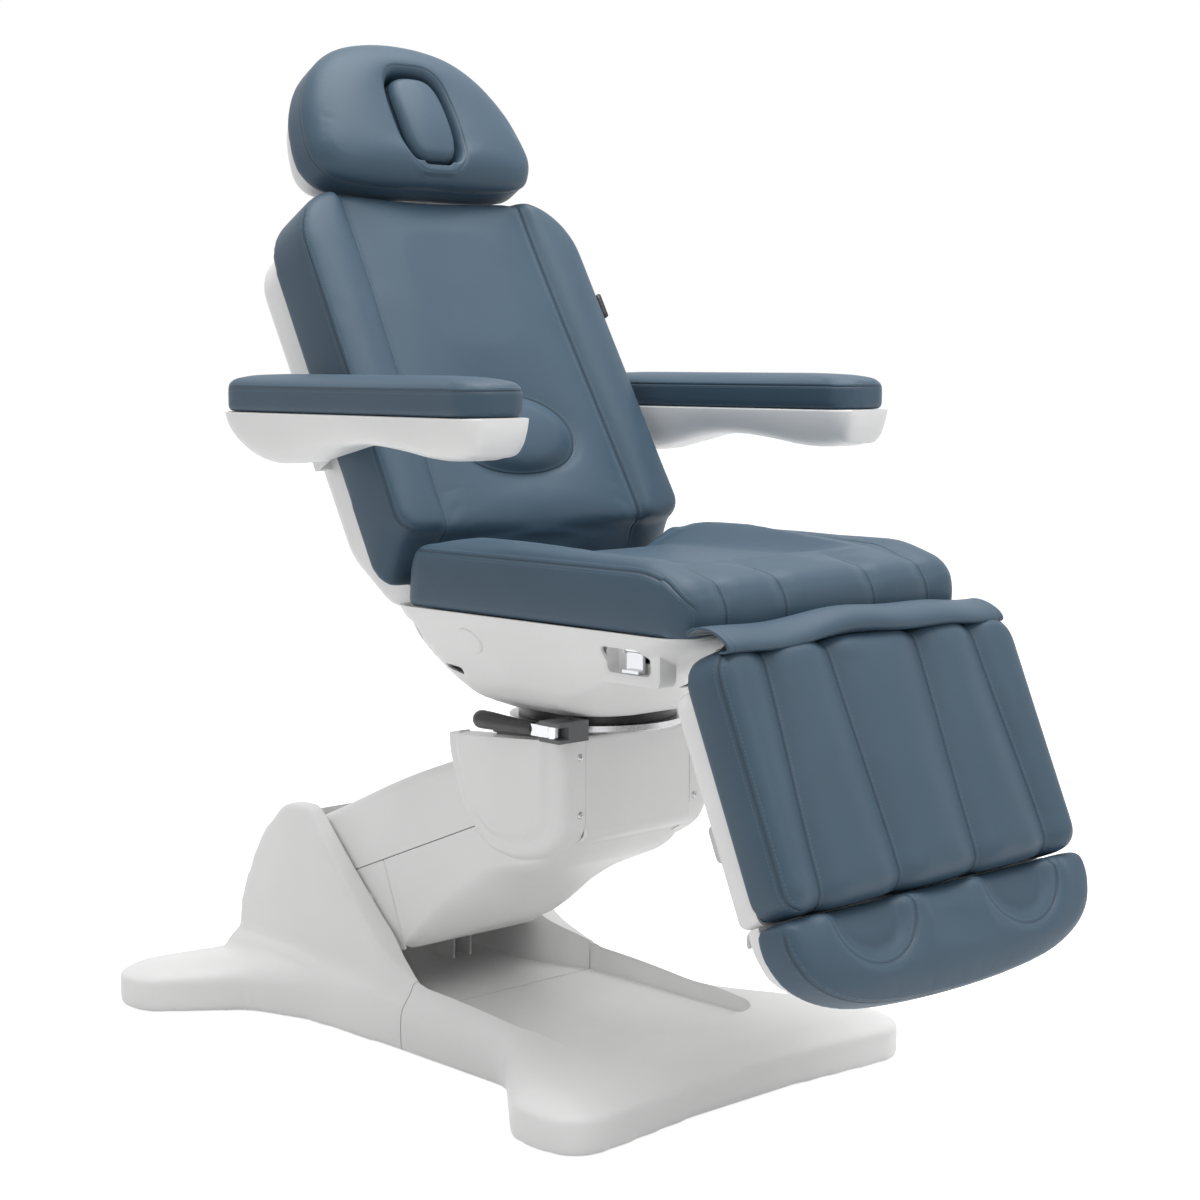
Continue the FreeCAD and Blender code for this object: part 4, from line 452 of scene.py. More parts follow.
def cushion(name, node, body, rings, matrix, shape, sewing, limit=10, size=5.0, cyclic=False, pressure=4.0):
    """One cushion: rings, even mesh, shaping, cloth, and the sewing as numbers.

    shape(x, s, n) gives the moves (dx, ds, dn); sewing(x, s, n) gives distances, strengths and
    run lengths of three seams, all in millimetres.
    """
    item = mesh_object(name, rings_bmesh(rings, FLAT, cyclic), UPHOLSTERY)
    modify(item, "REMESH", mode="VOXEL", voxel_size=size * MM, use_smooth_shade=True)
    bake(item)
    rest = points_of(item) / MM
    write_vectors(item, "rest", rest)
    moves = np.column_stack(np.broadcast_arrays(*shape(*rest.T)))
    set_points(item, (rest + moves) * MM)
    top = float(np.max((rest + moves)[:, 2])) + 2
    distance, strength, _ = sewing(*rest.T)
    sewn = [w * (np.abs(d) < size * 1.1) for d, w in zip(distance, strength)]
    seams = np.max(np.column_stack(sewn), axis=1)
    floor = rest[:, 2] < rest[:, 2].min() + 14
    inflate(item, np.maximum(seams, floor), limit, pressure)
    modify(item, "SMOOTH", factor=0.5, iterations=2)
    modify(item, "SUBSURF", levels=1, render_levels=1)
    bake(item)
    rest = read_vectors(item, "rest")
    fit(item, np.vstack(rings), top)
    distance, strength, along = sewing(*rest.T)
    for key, columns in (("seam", distance), ("keep", strength), ("run", along)):
        write_vectors(item, key, np.column_stack(np.broadcast_arrays(*columns, rest[:, 0])[:3]))
    item.data.attributes.remove(item.data.attributes["rest"])
    item.data.transform(matrix)
    if matrix.determinant() < 0:
        item.data.flip_normals()
    for polygon in item.data.polygons:
        polygon.use_smooth = True
    item.data.materials.clear()
    item.data.materials.append(UPHOLSTERY)
    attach(item, body)
    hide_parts(node)
    print(name, len(item.data.polygons), "faces")
    return item


# %% [markdown]
# ## Seat
# The seat has a firm side wall, a rolled bolster on each side and four short seams that run
# over its front edge. The middle lies lower than the bolsters.

# %% Seat cushion
seat_loop = rounded(mirror_half([(262, -440, 34), (264, 118, 40)]))


def seat_shape(x, y, z):
    side = np.abs(x)
    up = step(z, 672, 735)
    hollow = -24 * (1 - step(side, 140, 214)) * step(y, -425, -230)
    bolster = 7 * bell(side - 226, 30) * step(y, -440, -330)
    front = -16 * step(-y, 350, 445)
    channels = np.minimum(np.abs(side - 84), np.abs(side - 192))
    puff = -7 * bell(channels, 17) * step(-y, 300, 400) * step(-y + 0.4 * (748 - z), 320, 400)
    forward = -6 * step(-y, 380, 430) * bell(z - 688, 40) + 6 * bell(channels, 15) * step(-y, 415, 437)
    lean = (-34 + 22 * step(side, 196, 250)) * np.clip((z - 660) / 88, 0, 1) * step(y, 0, 118)
    return np.zeros_like(x), forward + lean, (hollow + bolster + front + puff) * up


def seat_sewing(x, y, z):
    side = np.abs(x)
    outer = side - (192 + 16 * step(y, -400, -200))
    inner = side - 84
    reach = -y + 0.6 * (748 - z)
    edge = z - 736
    corner = np.hypot(y + 392, z - 692) - 46
    boxing = np.where(y < -392, np.where(z > 692, corner, -(y + 438)), edge)
    boxed = step(side, 240, 252) * step(z, 640, 650)
    open_front = step(reach, 330, 400)
    return (outer, inner, boxing), (step(reach, 190, 330), open_front, boxed), (reach, reach, y + z)


cushion("seat_cushion_cover", "seat_cushion", "seat", pad_rings(seat_loop, 659.5, 748, 30, 6), FLAT,
        seat_shape, seat_sewing, limit=7, size=6.0)

# %% [markdown]
# ## Back
# The back tapers towards its top. Two long seams part the flat middle from the side bolsters,
# and an oval lumbar pad stands out of the middle.

# %% Back cushion
back_loop = rounded(mirror_half([(272, 44, 34), (263, 638, 100)]))


def back_seam_x(s):
    return 184 - 14 * step(s, 60, 600)


def oval(x, s):
    """Distance to the lumbar oval, below 0 inside it."""
    ratio = np.hypot(x / 112, (s - 232) / 70)
    return (ratio - 1) * 82


def back_shape(x, s, n):
    side = np.abs(x)
    up = step(n, 20, 92)
    seam = side - back_seam_x(s)
    middle = -12 * (1 - step(seam, -14, 16)) - 5 * bell(side, 110)
    valley = -7 * bell(seam, 10)
    pad = 15 * (1 - step(oval(x, s), -34, 0)) - 5 * bell(oval(x, s), 9)
    dip = -5 * bell(x, 150) * step(s, 580, 636)
    heel = 44 * step(n, 6, 80) * (1 - step(s, 60, 210))
    return np.zeros_like(x), dip + heel, (middle + valley + pad) * up


def back_sewing(x, s, n):
    seam = np.abs(x) - back_seam_x(s)
    front = step(n, 40, 70)
    top = 1 - step(s, 620, 634)
    edge = n - 88
    boxed = step(np.maximum(np.abs(x) - 238, s - 622), 0, 8)
    angle = np.arctan2(s - 232, x) * 90
    return (seam, oval(x, s), edge), (front * top, front, boxed), (s, angle, s + np.abs(x))


cushion("back_cushion_cover", "back_cushion", "back", pad_rings(back_loop, 0.5, 100, 20, 6), BACK,
        back_shape, back_sewing, limit=7, size=6.0)

# %% [markdown]
# ## Headrest
# The headrest is a rounded cushion with an oval hole for the sitter's face. A separate plug
# fills the hole. The cushion is a ring: rolled outside, rolled again into the hole.

# %% Headrest cushion
HEAD_MIDDLE = 742.0


def smooth_loop(points, count=160):
    """Closed smooth curve through the points."""
    p = np.array(points, float)
    loop = []
    for i in range(len(p)):
        a, b, c, d = (p[(i + k) % len(p)] for k in (-1, 0, 1, 2))
        for t in np.linspace(0, 1, 12, endpoint=False):
            loop.append(0.5 * (2 * b + (c - a) * t + (2 * a - 5 * b + 4 * c - d) * t ** 2
                               + (3 * b - a - 3 * c + d) * t ** 3))
    loop = np.array(loop)
    length = np.sum(np.linalg.norm(np.diff(np.vstack([loop, loop[:1]]), axis=0), axis=1))
    return walk(loop, length / count)


def by_angle(loop, middle, count=160):
    """The loop's points at even angles about a middle."""
    offset = loop - np.array(middle)
    angle = np.unwrap(np.arctan2(offset[:, 1], offset[:, 0]))
    radius = np.hypot(offset[:, 0], offset[:, 1])
    order = np.argsort(angle % (2 * math.pi))
    turn = (angle % (2 * math.pi))[order]
    at = np.linspace(0, 2 * math.pi, count, endpoint=False)
    r = np.interp(at, turn, radius[order], period=2 * math.pi)
    return np.column_stack([middle[0] + r * np.cos(at), middle[1] + r * np.sin(at)])


head_half = [(0, 640), (112, 640), (176, 649), (203, 678), (205, 716), (190, 776), (152, 836), (92, 876)]
head_points = head_half + [(0, 890)] + [(-x, y) for x, y in head_half[:0:-1]]
head_loop = by_angle(smooth_loop(head_points), (0, HEAD_MIDDLE))


def face_loop(half_x, half_s):
    """The long rounded hole, as a superellipse."""
    angle = np.linspace(0, 2 * math.pi, 160, endpoint=False)
    c, q = np.cos(angle), np.sin(angle)
    r = (np.abs(c / half_x) ** 3.4 + np.abs(q / half_s) ** 3.4) ** (-1 / 3.4)
    return np.column_stack([r * c, HEAD_MIDDLE + r * q])


def hole_distance(x, s):
    angle = np.arctan2((s - HEAD_MIDDLE) / 80, x / 54)
    ratio = (np.abs(x / 54) ** 3.4 + np.abs((s - HEAD_MIDDLE) / 80) ** 3.4) ** (1 / 3.4)
    return (ratio - 1) * (54 + 26 * np.abs(np.sin(angle)))


head_rings = pad_rings(head_loop, 48.5, 136, 30, 12)
for k in range(5):
    turn = math.pi / 2 * k / 4
    out = 12 * (1 - math.sin(turn))
    head_rings.append(level(face_loop(54 + out, 80 + out), 136 - 12 * (1 - math.cos(turn))))
head_rings += [level(face_loop(54, 80), n) for n in (102, 77, 48.5)]


def head_radius(x, s):
    """0 at the middle of the headrest, 1 at its outline."""
    offset = head_loop - np.array((0, HEAD_MIDDLE))
    known = np.arctan2(offset[:, 1], offset[:, 0])
    far = np.hypot(offset[:, 0], offset[:, 1])
    order = np.argsort(known)
    limit = np.interp(np.arctan2(s - HEAD_MIDDLE, x), known[order], far[order], period=2 * math.pi)
    return np.hypot(x, s - HEAD_MIDDLE) / limit


def head_shape(x, s, n):
    rho = head_radius(x, s)
    up = step(n, 72, 132)
    crown = -15 * rho ** 3 + 5 * bell(rho - 0.66, 0.2)
    lip = -5 * step(n, 96, 124) * (1 - step(s, 645, 672))
    return np.zeros_like(x), lip, crown * up - 3 * bell(hole_distance(x, s), 9) * up


def head_sewing(x, s, n):
    rho = head_radius(x, s)
    edge = n - 98
    around = np.arctan2(s - HEAD_MIDDLE, x) * 190
    rim = hole_distance(x, s) - 9
    strength = (step(rho, 0.85, 0.93), 0.5 * step(n, 112, 127), 0 * x)
    return (edge, rim, 50 + 0 * x), strength, (around, around, x)


cushion("headrest_cushion_cover", "headrest_cushion", "headrest", head_rings, BACK, head_shape, head_sewing,
        limit=6, size=4.5, cyclic=True)

# %% [markdown]
# The plug is a smaller pad with a sewn edge. It fits loosely, so a dark line shows around it.

# %% Face plug


def plug_shape(x, s, n):
    rho = np.hypot(x / 48, (s - HEAD_MIDDLE) / 73)
    return np.zeros_like(x), np.zeros_like(x), -7 * rho ** 2 * step(n, 102, 136)


def plug_sewing(x, s, n):
    rho = np.hypot(x / 48, (s - HEAD_MIDDLE) / 73)
    around = np.arctan2(s - HEAD_MIDDLE, x) * 60
    return (n - 127, 50 + 0 * x, 50 + 0 * x), (0.8 * step(rho, 0.8, 0.92), 0 * x, 0 * x), (around, x, x)


cushion("face_plug_cover", "face_plug", "plug", pad_rings(face_loop(47.5, 72.5), 66.5, 142, 14, 4), BACK,
        plug_shape, plug_sewing, limit=4, size=3.0)

# %% [markdown]
# ## Armrest pads
# Each armrest has a long pad on a moulded tray. Its cover is sewn along the upper edge. One
# pad is drawn and the other is its mirror image.

# %% Armrest pads
ARMREST_X, ARMREST_HALF = 344, 52
for side_name, sign in (("right", -1), ("left", 1)):
    corners = [(293, -203.5, 40), (395.5, -203.5, 40), (395.5, 349, 36), (293, 349, 36)]
    pad_loop = rounded([(sign * x, y, r) for x, y, r in corners][::sign])

    def pad_shape(x, y, z):
        across = (np.abs(x) - ARMREST_X) / ARMREST_HALF
        crown = 1.5 - 3 * across ** 2 - 3 * step(-y, 150, 205)
        return np.zeros_like(x), np.zeros_like(x), crown * step(z, 945, 968)

    def pad_sewing(x, y, z):
        return (z - 957, 50 + 0 * x, 50 + 0 * x), (0.9 + 0 * x, 0 * x, 0 * x), (y + np.abs(x), x, x)

    cushion(f"armrest_pad_{side_name}_cover", f"armrest_pad_{side_name}", f"armrest_{side_name}",
            pad_rings(pad_loop, 922.5, 970, 15, 4), FLAT, pad_shape, pad_sewing, limit=4, size=4.5)

# %% [markdown]
# ## Leg section
# Four seams part the leg cushion into five long channels. The foam swells between them. The
# side walls are sewn in along a line of their own.

# %% Leg cushion
leg_loop = rounded(mirror_half([(284, 15, 40), (284, 341, 30)]))


def leg_seams(x, s):
    side = np.abs(x)
    lower = step(s, 0, 340)
    return side - (198 + 20 * lower), side - (84 - 10 * lower)


def leg_shape(x, s, n):
    outer, inner = leg_seams(x, s)
    up = step(n, 10, 64)
    near = np.minimum(np.abs(outer), np.abs(inner))
    valley = -8 * bell(near, 18) - 3 * bell(near, 7)
    swell = 4 * step(near, 10, 45)
    roll = 2 * bell(near, 13) * (1 - step(s, 15, 40)) - 2 * bell(near, 13) * step(s, 315, 338)
    return np.zeros_like(x), roll, (valley + swell) * up


def leg_sewing(x, s, n):
    outer, inner = leg_seams(x, s)
    edge = n - 54
    boxed = step(np.abs(x), 252, 262)
    front = step(n, 8, 20)
    return (outer, inner, edge), (front, front, boxed), (s - n, s - n, s)


cushion("leg_cushion_cover", "leg_cushion", "leg", pad_rings(leg_loop, 0.5, 68, 28, 6), LEG,
        leg_shape, leg_sewing, limit=5, size=5.5)

# %% [markdown]
# ## Foot section
# The foot cushion is a flat D with two U-shaped heel cups, open towards the leg section. Its
# rounded edge has a welt.

# %% Foot cushion
foot_half = [(0, 342), (160, 342), (262, 342), (281, 345), (287, 358), (285, 382), (268, 414), (232, 440),
             (176, 458), (96, 467)]
foot_loop = smooth_loop(foot_half + [(0, 470)] + [(-x, y) for x, y in foot_half[:0:-1]], 240)


def cup(x, s):
    """Distance to the rim of the nearer heel cup, below 0 inside it."""
    side = np.abs(x) - 141
    return np.hypot(side, np.maximum(s - 352, 0) * 74 / 66) - 74


def foot_shape(x, s, n):
    up = step(n, 8, 54)
    rim = cup(x, s)
    hollow = -13 * (1 - step(rim, -26, 4)) + 3 * bell(rim - 10, 12) - 2 * bell(rim, 5)
    middle = -5 * bell(np.abs(x), 45) * (1 - step(s, 380, 440))
    edge = -3 * step(s, 420, 470)
    return np.zeros_like(x), np.zeros_like(x), (hollow + middle + edge) * up


def foot_edge(x, s):
    """Distance from the D's outline, inwards."""
    gaps = np.full(x.shape, 1e9)
    for px, ps in foot_loop:
        gaps = np.minimum(gaps, (x - px) ** 2 + (s - ps) ** 2)
    return np.sqrt(gaps)


def foot_sewing(x, s, n):
    welt = n - 47
    inside = foot_edge(x, s)
    along = np.abs(x) + s
    rounded_part = step(s, 352, 362) * (1 - step(inside, 18, 26))
    angle = np.arctan2(s - 352, np.abs(x) - 141) * 74
    return (cup(x, s), 50 + 0 * x, welt), (0.7 * step(n, 20, 34), 0 * x, rounded_part), (angle, x, along)


cushion("foot_cushion_cover", "foot_cushion", "foot", pad_rings(foot_loop, 0.5, 60, 18, 6), LEG, foot_shape,
        foot_sewing, limit=5, size=4.5)

# %% [markdown]
# ## Flap
# A loose strip of the same fabric closes the gap between the seat and the leg section. It is
# fixed below the seat, lies on the top of the leg cushion and falls in soft waves. It is drawn
# as a bent cross-section that changes along the width.

# %% Flap
flap_course = np.array([(-437.5, 667), (-445, 676), (-459, 681), (-476, 680), (-491, 675), (-502, 667),
                        (-505, 659), (-498, 654.5), (-484, 653)], float)


def flap_section(x):
    """The strip's course at one x, with its waves."""
    t = (x + 266) / 532
    wave = 7 * math.sin(2 * math.pi * (1.18 * t + 0.62)) + 3 * math.sin(2 * math.pi * (2.7 * t + 0.1))
    depth = np.linspace(0, 1, len(flap_course))
    y = flap_course[:, 0] - 5 * depth * math.sin(2 * math.pi * (1.6 * t + 0.2)) - 3 * depth
    z = flap_course[:, 1] + wave * np.sin(math.pi * np.clip(depth * 0.9, 0, 1))
    return np.column_stack([np.full(len(y), x), y, z])


flap_rows = [flap_section(x) for x in np.linspace(-266, 266, 56)]
bm = bmesh.new()
flap_verts = [[bm.verts.new(Vector(p * MM)) for p in row] for row in flap_rows]
for low, high in zip(flap_verts, flap_verts[1:]):
    for i in range(len(low) - 1):
        bm.faces.new((low[i], low[i + 1], high[i + 1], high[i]))
flap = mesh_object("leg_flap_cloth", bm, UPHOLSTERY)
modify(flap, "SUBSURF", levels=2, render_levels=2)
modify(flap, "SOLIDIFY", thickness=0.0034, offset=0)
bake(flap)
flap_points = points_of(flap) / MM
far = np.full(len(flap_points), 50.0)
write_vectors(flap, "seam", np.column_stack([flap_points[:, 0] + 256, flap_points[:, 0] - 256, far]))
write_vectors(flap, "keep", np.column_stack([np.full(len(far), 0.4), np.full(len(far), 0.4), 0 * far]))
write_vectors(flap, "run", flap_points[:, [1, 1, 1]])
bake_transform(flap)
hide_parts("leg_flap")

# %% [markdown]
# ## How a moulded shell is made
# The white covers are moulded with soft, wide roundings. Simple solids are joined into one even
# mesh and smoothed, which gives the wide roundings. Crisp openings and parting lines are cut
# afterwards.

# %% Shell helpers


def prism(corners, axis, low, high, spacing=8.0):
    """A solid from an outline drawn across an axis: x across (y, z), z over the plan (x, y)."""
    loop = corners if isinstance(corners, np.ndarray) else rounded(corners, spacing)
    bm = bmesh.new()
    rows = []
    for station in (low, high):
        if axis == "x":
            row = [bm.verts.new((station * MM, p[0] * MM, p[1] * MM)) for p in loop]
        elif axis == "y":
            row = [bm.verts.new((p[0] * MM, station * MM, p[1] * MM)) for p in loop]
        else:
            row = [bm.verts.new((p[0] * MM, p[1] * MM, station * MM)) for p in loop]
        rows.append(row)
    for i in range(len(loop)):
        j = (i + 1) % len(loop)
        bm.faces.new((rows[0][i], rows[0][j], rows[1][j], rows[1][i]))
    bm.faces.new(rows[0][::-1])
    bm.faces.new(rows[1])
    bmesh.ops.recalc_face_normals(bm, faces=bm.faces[:])
    return bm


def joined(name, parts, material):
    """One object holding several closed forms."""
    whole = bmesh.new()
    for part in parts:
        mesh = bpy.data.meshes.new("piece")
        part.to_mesh(mesh)
        part.free()
        whole.from_mesh(mesh)
        bpy.data.meshes.remove(mesh)
    return mesh_object(name, whole, material)


def soften(item, size, passes, factor=0.5):
    """Even mesh over all the forms, with wide soft edges."""
    modify(item, "REMESH", mode="VOXEL", voxel_size=size * MM, use_smooth_shade=True)
    modify(item, "SMOOTH", factor=factor, iterations=passes)
    bake(item)
    return item


def carve(item, cutter):
    """Takes the cutter's form out of the item."""
    modify(item, "BOOLEAN", object=cutter, operation="DIFFERENCE", solver="EXACT")
    bake(item)
    bpy.data.objects.remove(cutter)
    return item


def sliced(item, name, place, normal):
    """A copy of the item with only what lies behind a plane, closed again."""
    bm = bmesh.new()
    bm.from_mesh(item.data)
    everything = bm.verts[:] + bm.edges[:] + bm.faces[:]
    cut = bmesh.ops.bisect_plane(bm, geom=everything, plane_co=place, plane_no=normal, clear_outer=True)
    edges = [g for g in cut["geom_cut"] if isinstance(g, bmesh.types.BMEdge)]
    bmesh.ops.triangle_fill(bm, use_beauty=True, edges=edges)
    return mesh_object(name, bm, item.data.materials[0])


def finish_shell(item, body, *nodes, angle=38, slot="white_shell"):
    """Shades a shell, keeps its cut edges crisp and sets it on its body."""
    for polygon in item.data.polygons:
        polygon.use_smooth = True
    sharp = bmesh.new()
    sharp.from_mesh(item.data)
    limit = math.radians(angle)
    for edge in sharp.edges:
        edge.smooth = not (edge.is_manifold and edge.calc_face_angle(0) > limit)
    sharp.to_mesh(item.data)
    sharp.free()
    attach(item, body)
    if nodes:
        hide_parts(*nodes)
    print(item.name, len(item.data.polygons), "faces")
    return item


# %% [markdown]
# ## Base
# Two covers hide the steel frame: the front one with a tray below the leg section, the rear one
# with a hump that holds the lift arm's pivot. They are drawn as one body, softened, and then
# parted at y = 200.

# %% Base covers
BASE_PLAN = mirror_half([(99, -293, 70), (330, -316, 55), (330, -190, 62), (200, -30, 80), (202, 200, 200),
                         (212, 420, 120), (246, 520, 80), (372, 622, 52), (372, 733, 55), (186, 704, 80)])


def base_top(y):
    """Height of the covers' upper rim along the length."""
    return 65 + 31 * step(y, -316, 200) - 30 * step(y, 260, 720)


plan_loop = rounded(BASE_PLAN)
layers = [prism(inset(plan_loop, inwards), "z", 0, top)
          for inwards, top in ((0, 54), (4, 66), (10, 75), (18, 82), (28, 87), (40, 91))]
HUMP_HALF = 176
HUMP_SIDE = [(190, 40, 0), (652, 40, 0), (650, 96, 30), (645, 160, 90), (614, 246, 110), (553, 309, 50),
             (487, 312, 16), (399, 227, 0), (325, 160, 90), (270, 122, 90), (190, 96, 0)]
hump = prism(HUMP_SIDE, "x", -HUMP_HALF, HUMP_HALF, 6.0)
for vert in hump.verts:
    rise = float(step(vert.co.z / MM, 60, 330))
    vert.co.x *= 1.03 - 0.14 * rise
base = joined("base_covers", layers + [hump], WHITE)
soften(base, 5.0, 12)
points = points_of(base)
y, z = points[:, 1] / MM, points[:, 2] / MM
rim = base_top(y)
over = (z > 40) & (z < 100) & ((np.abs(points[:, 0]) / MM > 196) | (y > 656))
points[:, 2] = np.where(over, points[:, 2] + (rim - 90) * MM * step(z, 34, 88), points[:, 2])
toe = (y < 190) & (z > 40) & ~over
points[:, 2] = np.where(toe, points[:, 2] + (rim - 90) * MM * step(z, 34, 88), points[:, 2])
points[:, 2] = np.maximum(points[:, 2] - points[:, 2].min(), 0)
set_points(base, points)
modify(base, "SMOOTH", factor=0.5, iterations=9)
bake(base)

# %% [markdown]
# The tray and the arm's slot are cut out in one go. The tray's rim stays as a rounded ridge.

# %% Base openings
TRAY_PLAN = mirror_half([(171, -165, 45), (171, 196, 90), (133, 300, 160), (133, 578, 20)])
TRAY_FLOOR = 54
hollow = prism(TRAY_PLAN, "z", TRAY_FLOOR, 340, 5.0)
carve(base, mesh_object("hollow", hollow, WHITE))
modify(base, "BEVEL", width=0.006, segments=3, limit_method="ANGLE", angle_limit=math.radians(48),
       harden_normals=False)
bake(base)
front_cover = sliced(base, "front_base_shell", (0, 0.1988, 0), (0, 1, 0))
rear_cover = sliced(base, "rear_base_shell", (0, 0.2009, 0), (0, -1, 0))
bpy.data.objects.remove(base)
finish_shell(front_cover, "base", "front_base_cover")
finish_shell(rear_cover, "base", "rear_base_cover")

# %% [markdown]
# ## Lift arm
# Two covers close over the arm: a flat upper one and a deep lower one. The lower one starts
# with a sharp bottom edge. Towards the head this edge opens into a wide keel, and the cover ends
# in a round nose that holds the lower links. Each cover is a row of sections across the arm.
# Near the base the lower cover is open below, so that the links can swing, and only its two
# cheeks are left.

# %% Arm covers


def curve(at, known, values):
    """Smooth curve through values."""
    known, values = np.array(known, float), np.array(values, float)
    slope = np.gradient(values, known)
    k = int(np.clip(np.searchsorted(known, at) - 1, 0, len(known) - 2))
    h = known[k + 1] - known[k]
    t = (at - known[k]) / h
    return ((2 * t ** 3 - 3 * t ** 2 + 1) * values[k] + (t ** 3 - 2 * t ** 2 + t) * h * slope[k]
            + (-2 * t ** 3 + 3 * t ** 2) * values[k + 1] + (t ** 3 - t ** 2) * h * slope[k + 1])


ARM_HALF = 128
MOUTH_START, MOUTH_END = -30, 150
UPPER_SEAM, LOWER_SEAM = -20.4, -21.7
UNDER_AT = [-60, 20, 70, 132, 146, 240, 300, 335, 370, 410, 455, 490, 520, 545, 562, 578]
UNDER = [-50, -98, -128, -156, -158, -158, -156, -147, -132, -119, -114, -111, -100, -80, -56, -24]
KEEL_AT = [-60, 120, 140, 207, 287, 360, 410, 460, 500, 578]
KEEL = [3, 4, 8, 33, 58, 54, 36, 22, 14, 8]


def arm_ring(at, high, low, keel, inwards=0.0):
    """One section across the arm: round corners above, an elliptic keel below."""
    half = ARM_HALF - 14 * float(step(at, 500, 585)) - inwards
    high, low = high - inwards, low + inwards
    wide = min(1.5 * keel, half - 8)
    turn = np.linspace(0, math.pi / 2, 17)
    upper = [(half - 18 + 18 * math.cos(a), high - 18 + 18 * math.sin(a)) for a in turn[::-2]]
    under = [(half - wide + wide * math.cos(a) ** 1.35, low + keel - keel * math.sin(a) ** 1.35)
             for a in turn]
    wall_middle = (half, (high - 18 + low + keel) / 2)
    right = np.array([(half * 0.4, high)] + upper + [wall_middle] + under + [(half * 0.1, low)])
    ring = np.vstack([right, (right * (-1, 1))[::-1]])
    return np.column_stack([ring[:, 0], np.full(len(ring), at), ring[:, 1]])


def upper_ring(at, inwards=0.0):
    return arm_ring(at, 77 + 7 * bell(at - 235, 150), -60, 2, inwards)


def lower_ring(at, inwards=0.0):
    low = float(curve(at, UNDER_AT, UNDER))
    return arm_ring(at, 30, low, min(float(curve(at, KEEL_AT, KEEL)), (24 - low) * 0.9), inwards)


def sleeve(ring, first, last, wall):
    """A hollow run of sections with one wall thickness."""
    rings = [ring(at) for at in np.linspace(first, last, 90)]
    rings += [ring(at, wall) for at in np.linspace(last - 6, first, 70)]
    return rings_bmesh(rings, cyclic=True)


def finish_arm(name, forms):
    """Joins the forms of one arm cover and sets them on the arm."""
    cover = joined(f"arm_{name}_shell", forms, WHITE)
    cover.data.transform(ARM)
    cover.data.flip_normals()
    finish_shell(cover, "lift_arm", f"arm_{name}_cover")


def opened(form, height, toward):
    """The part of a form on one side of the covers' parting level."""
    whole = mesh_object("arm_form", form, WHITE)
    half = sliced(whole, "arm_half", (0, 0, height * MM), (0, 0, toward))
    kept = bmesh.new()
    kept.from_mesh(half.data)
    bpy.data.objects.remove(whole)
    bpy.data.objects.remove(half)
    return kept


finish_arm("upper", [opened(sleeve(upper_ring, -40, 397, 5.5), UPPER_SEAM, -1)])
overlap = MOUTH_END + 0.5
cheek_side = [(MOUTH_START, LOWER_SEAM, 0), (overlap, LOWER_SEAM, 0)]
for at in np.linspace(overlap, MOUTH_START, 30):
    cheek_side.append((at, float(curve(at, UNDER_AT, UNDER)), 0))
cheeks = [prism(cheek_side, "x", *sorted((sign * 124.4, sign * ARM_HALF))) for sign in (1, -1)]
finish_arm("lower", [opened(sleeve(lower_ring, MOUTH_END, 572, 3.0), LOWER_SEAM, 1)] + cheeks)

# %% [markdown]
# ## Head
# The head carries the swivel. A flat front cover sits between two side covers. Each side cover
# is a tongue: its face rolls over widely at the rear, below and around the front corner.

# %% Head covers
HEAD_SIDE = [(-84, 342, 58), (-30, 309, 60), (20, 300, 70), (80, 306, 70), (134, 354, 80), (166, 440, 80),
             (176, 680, 60), (-84, 680, 60)]
HEAD_LID = [(100.6, -80), (122, -80), (138, -60), (143, -30), (143, 112), (137, 142), (119, 163),
            (100.6, 163)]
HEAD_TILT = 0.076
HEAD_FACE = [(51, 146.6), (27, 138), (5, 119), (5, 100.4), (0, 100.4), (0, 126)]
HEAD_FACE += [(18 * (1 - math.cos(a)), 126 + 18 * math.sin(a)) for a in np.linspace(0.15, 1.57, 9)]
HEAD_FACE += [(24 + 16 * k / 10, 144 + 7.6 * float(step(k, 0, 10))) for k in range(11)]


def tongue(corners, profile):
    """A hollow form over a side outline. The profile gives distances from the outline and heights."""
    loop = rounded(corners, 5.0)
    return [level(inset(loop, distance), height) for distance, height in profile]


for side_name, sign in (("right", -1), ("left", 1)):
    across = Matrix(((0, 0, sign, 0), (1, 0, 0, 0), (0, 1, 0, 0), (0, 0, 0, 1)))
    side = mesh_object("head_side", rings_bmesh(tongue(HEAD_SIDE, HEAD_FACE), across), WHITE)
    shell = sliced(side, "head_side_cut", (0, -0.084, 0.4828), (0, HEAD_TILT, 1))
    bpy.data.objects.remove(side)
    lid = prism([(sign * x, y, 4) for x, y in HEAD_LID], "z", 475, 481)
    for vert in lid.verts:
        vert.co.z -= HEAD_TILT * (vert.co.y + 0.084)
    wall = bmesh.new()
    wall.from_mesh(shell.data)
    bpy.data.objects.remove(shell)
    cover = joined(f"head_side_shell_{side_name}", [wall, lid], WHITE)
    finish_shell(cover, "head", f"head_side_cover_{side_name}")
FRONT_SIDE = [(-84, 340, 16), (-84, 482.8, 5), (-60, 482.8, 0), (-60, 477, 0), (-78.5, 477, 0),
              (-78.5, 344, 10), (-54, 333, 2), (-56, 327, 2)]
front = mesh_object("head_front_shell", prism(FRONT_SIDE, "x", -99.7, 99.7, 2.0), WHITE)
modify(front, "BEVEL", width=0.0009, segments=2, limit_method="ANGLE", angle_limit=math.radians(60))
bake(front)
finish_shell(front, "head", "head_front_cover")

# %% [markdown]
# ## Seat pan
# The pan is one deep moulding below the seat. Its wall runs from the rim in a long curve to the
# small round floor above the swivel. The rings are rounded rectangles whose sizes follow smooth
# curves between measured heights.

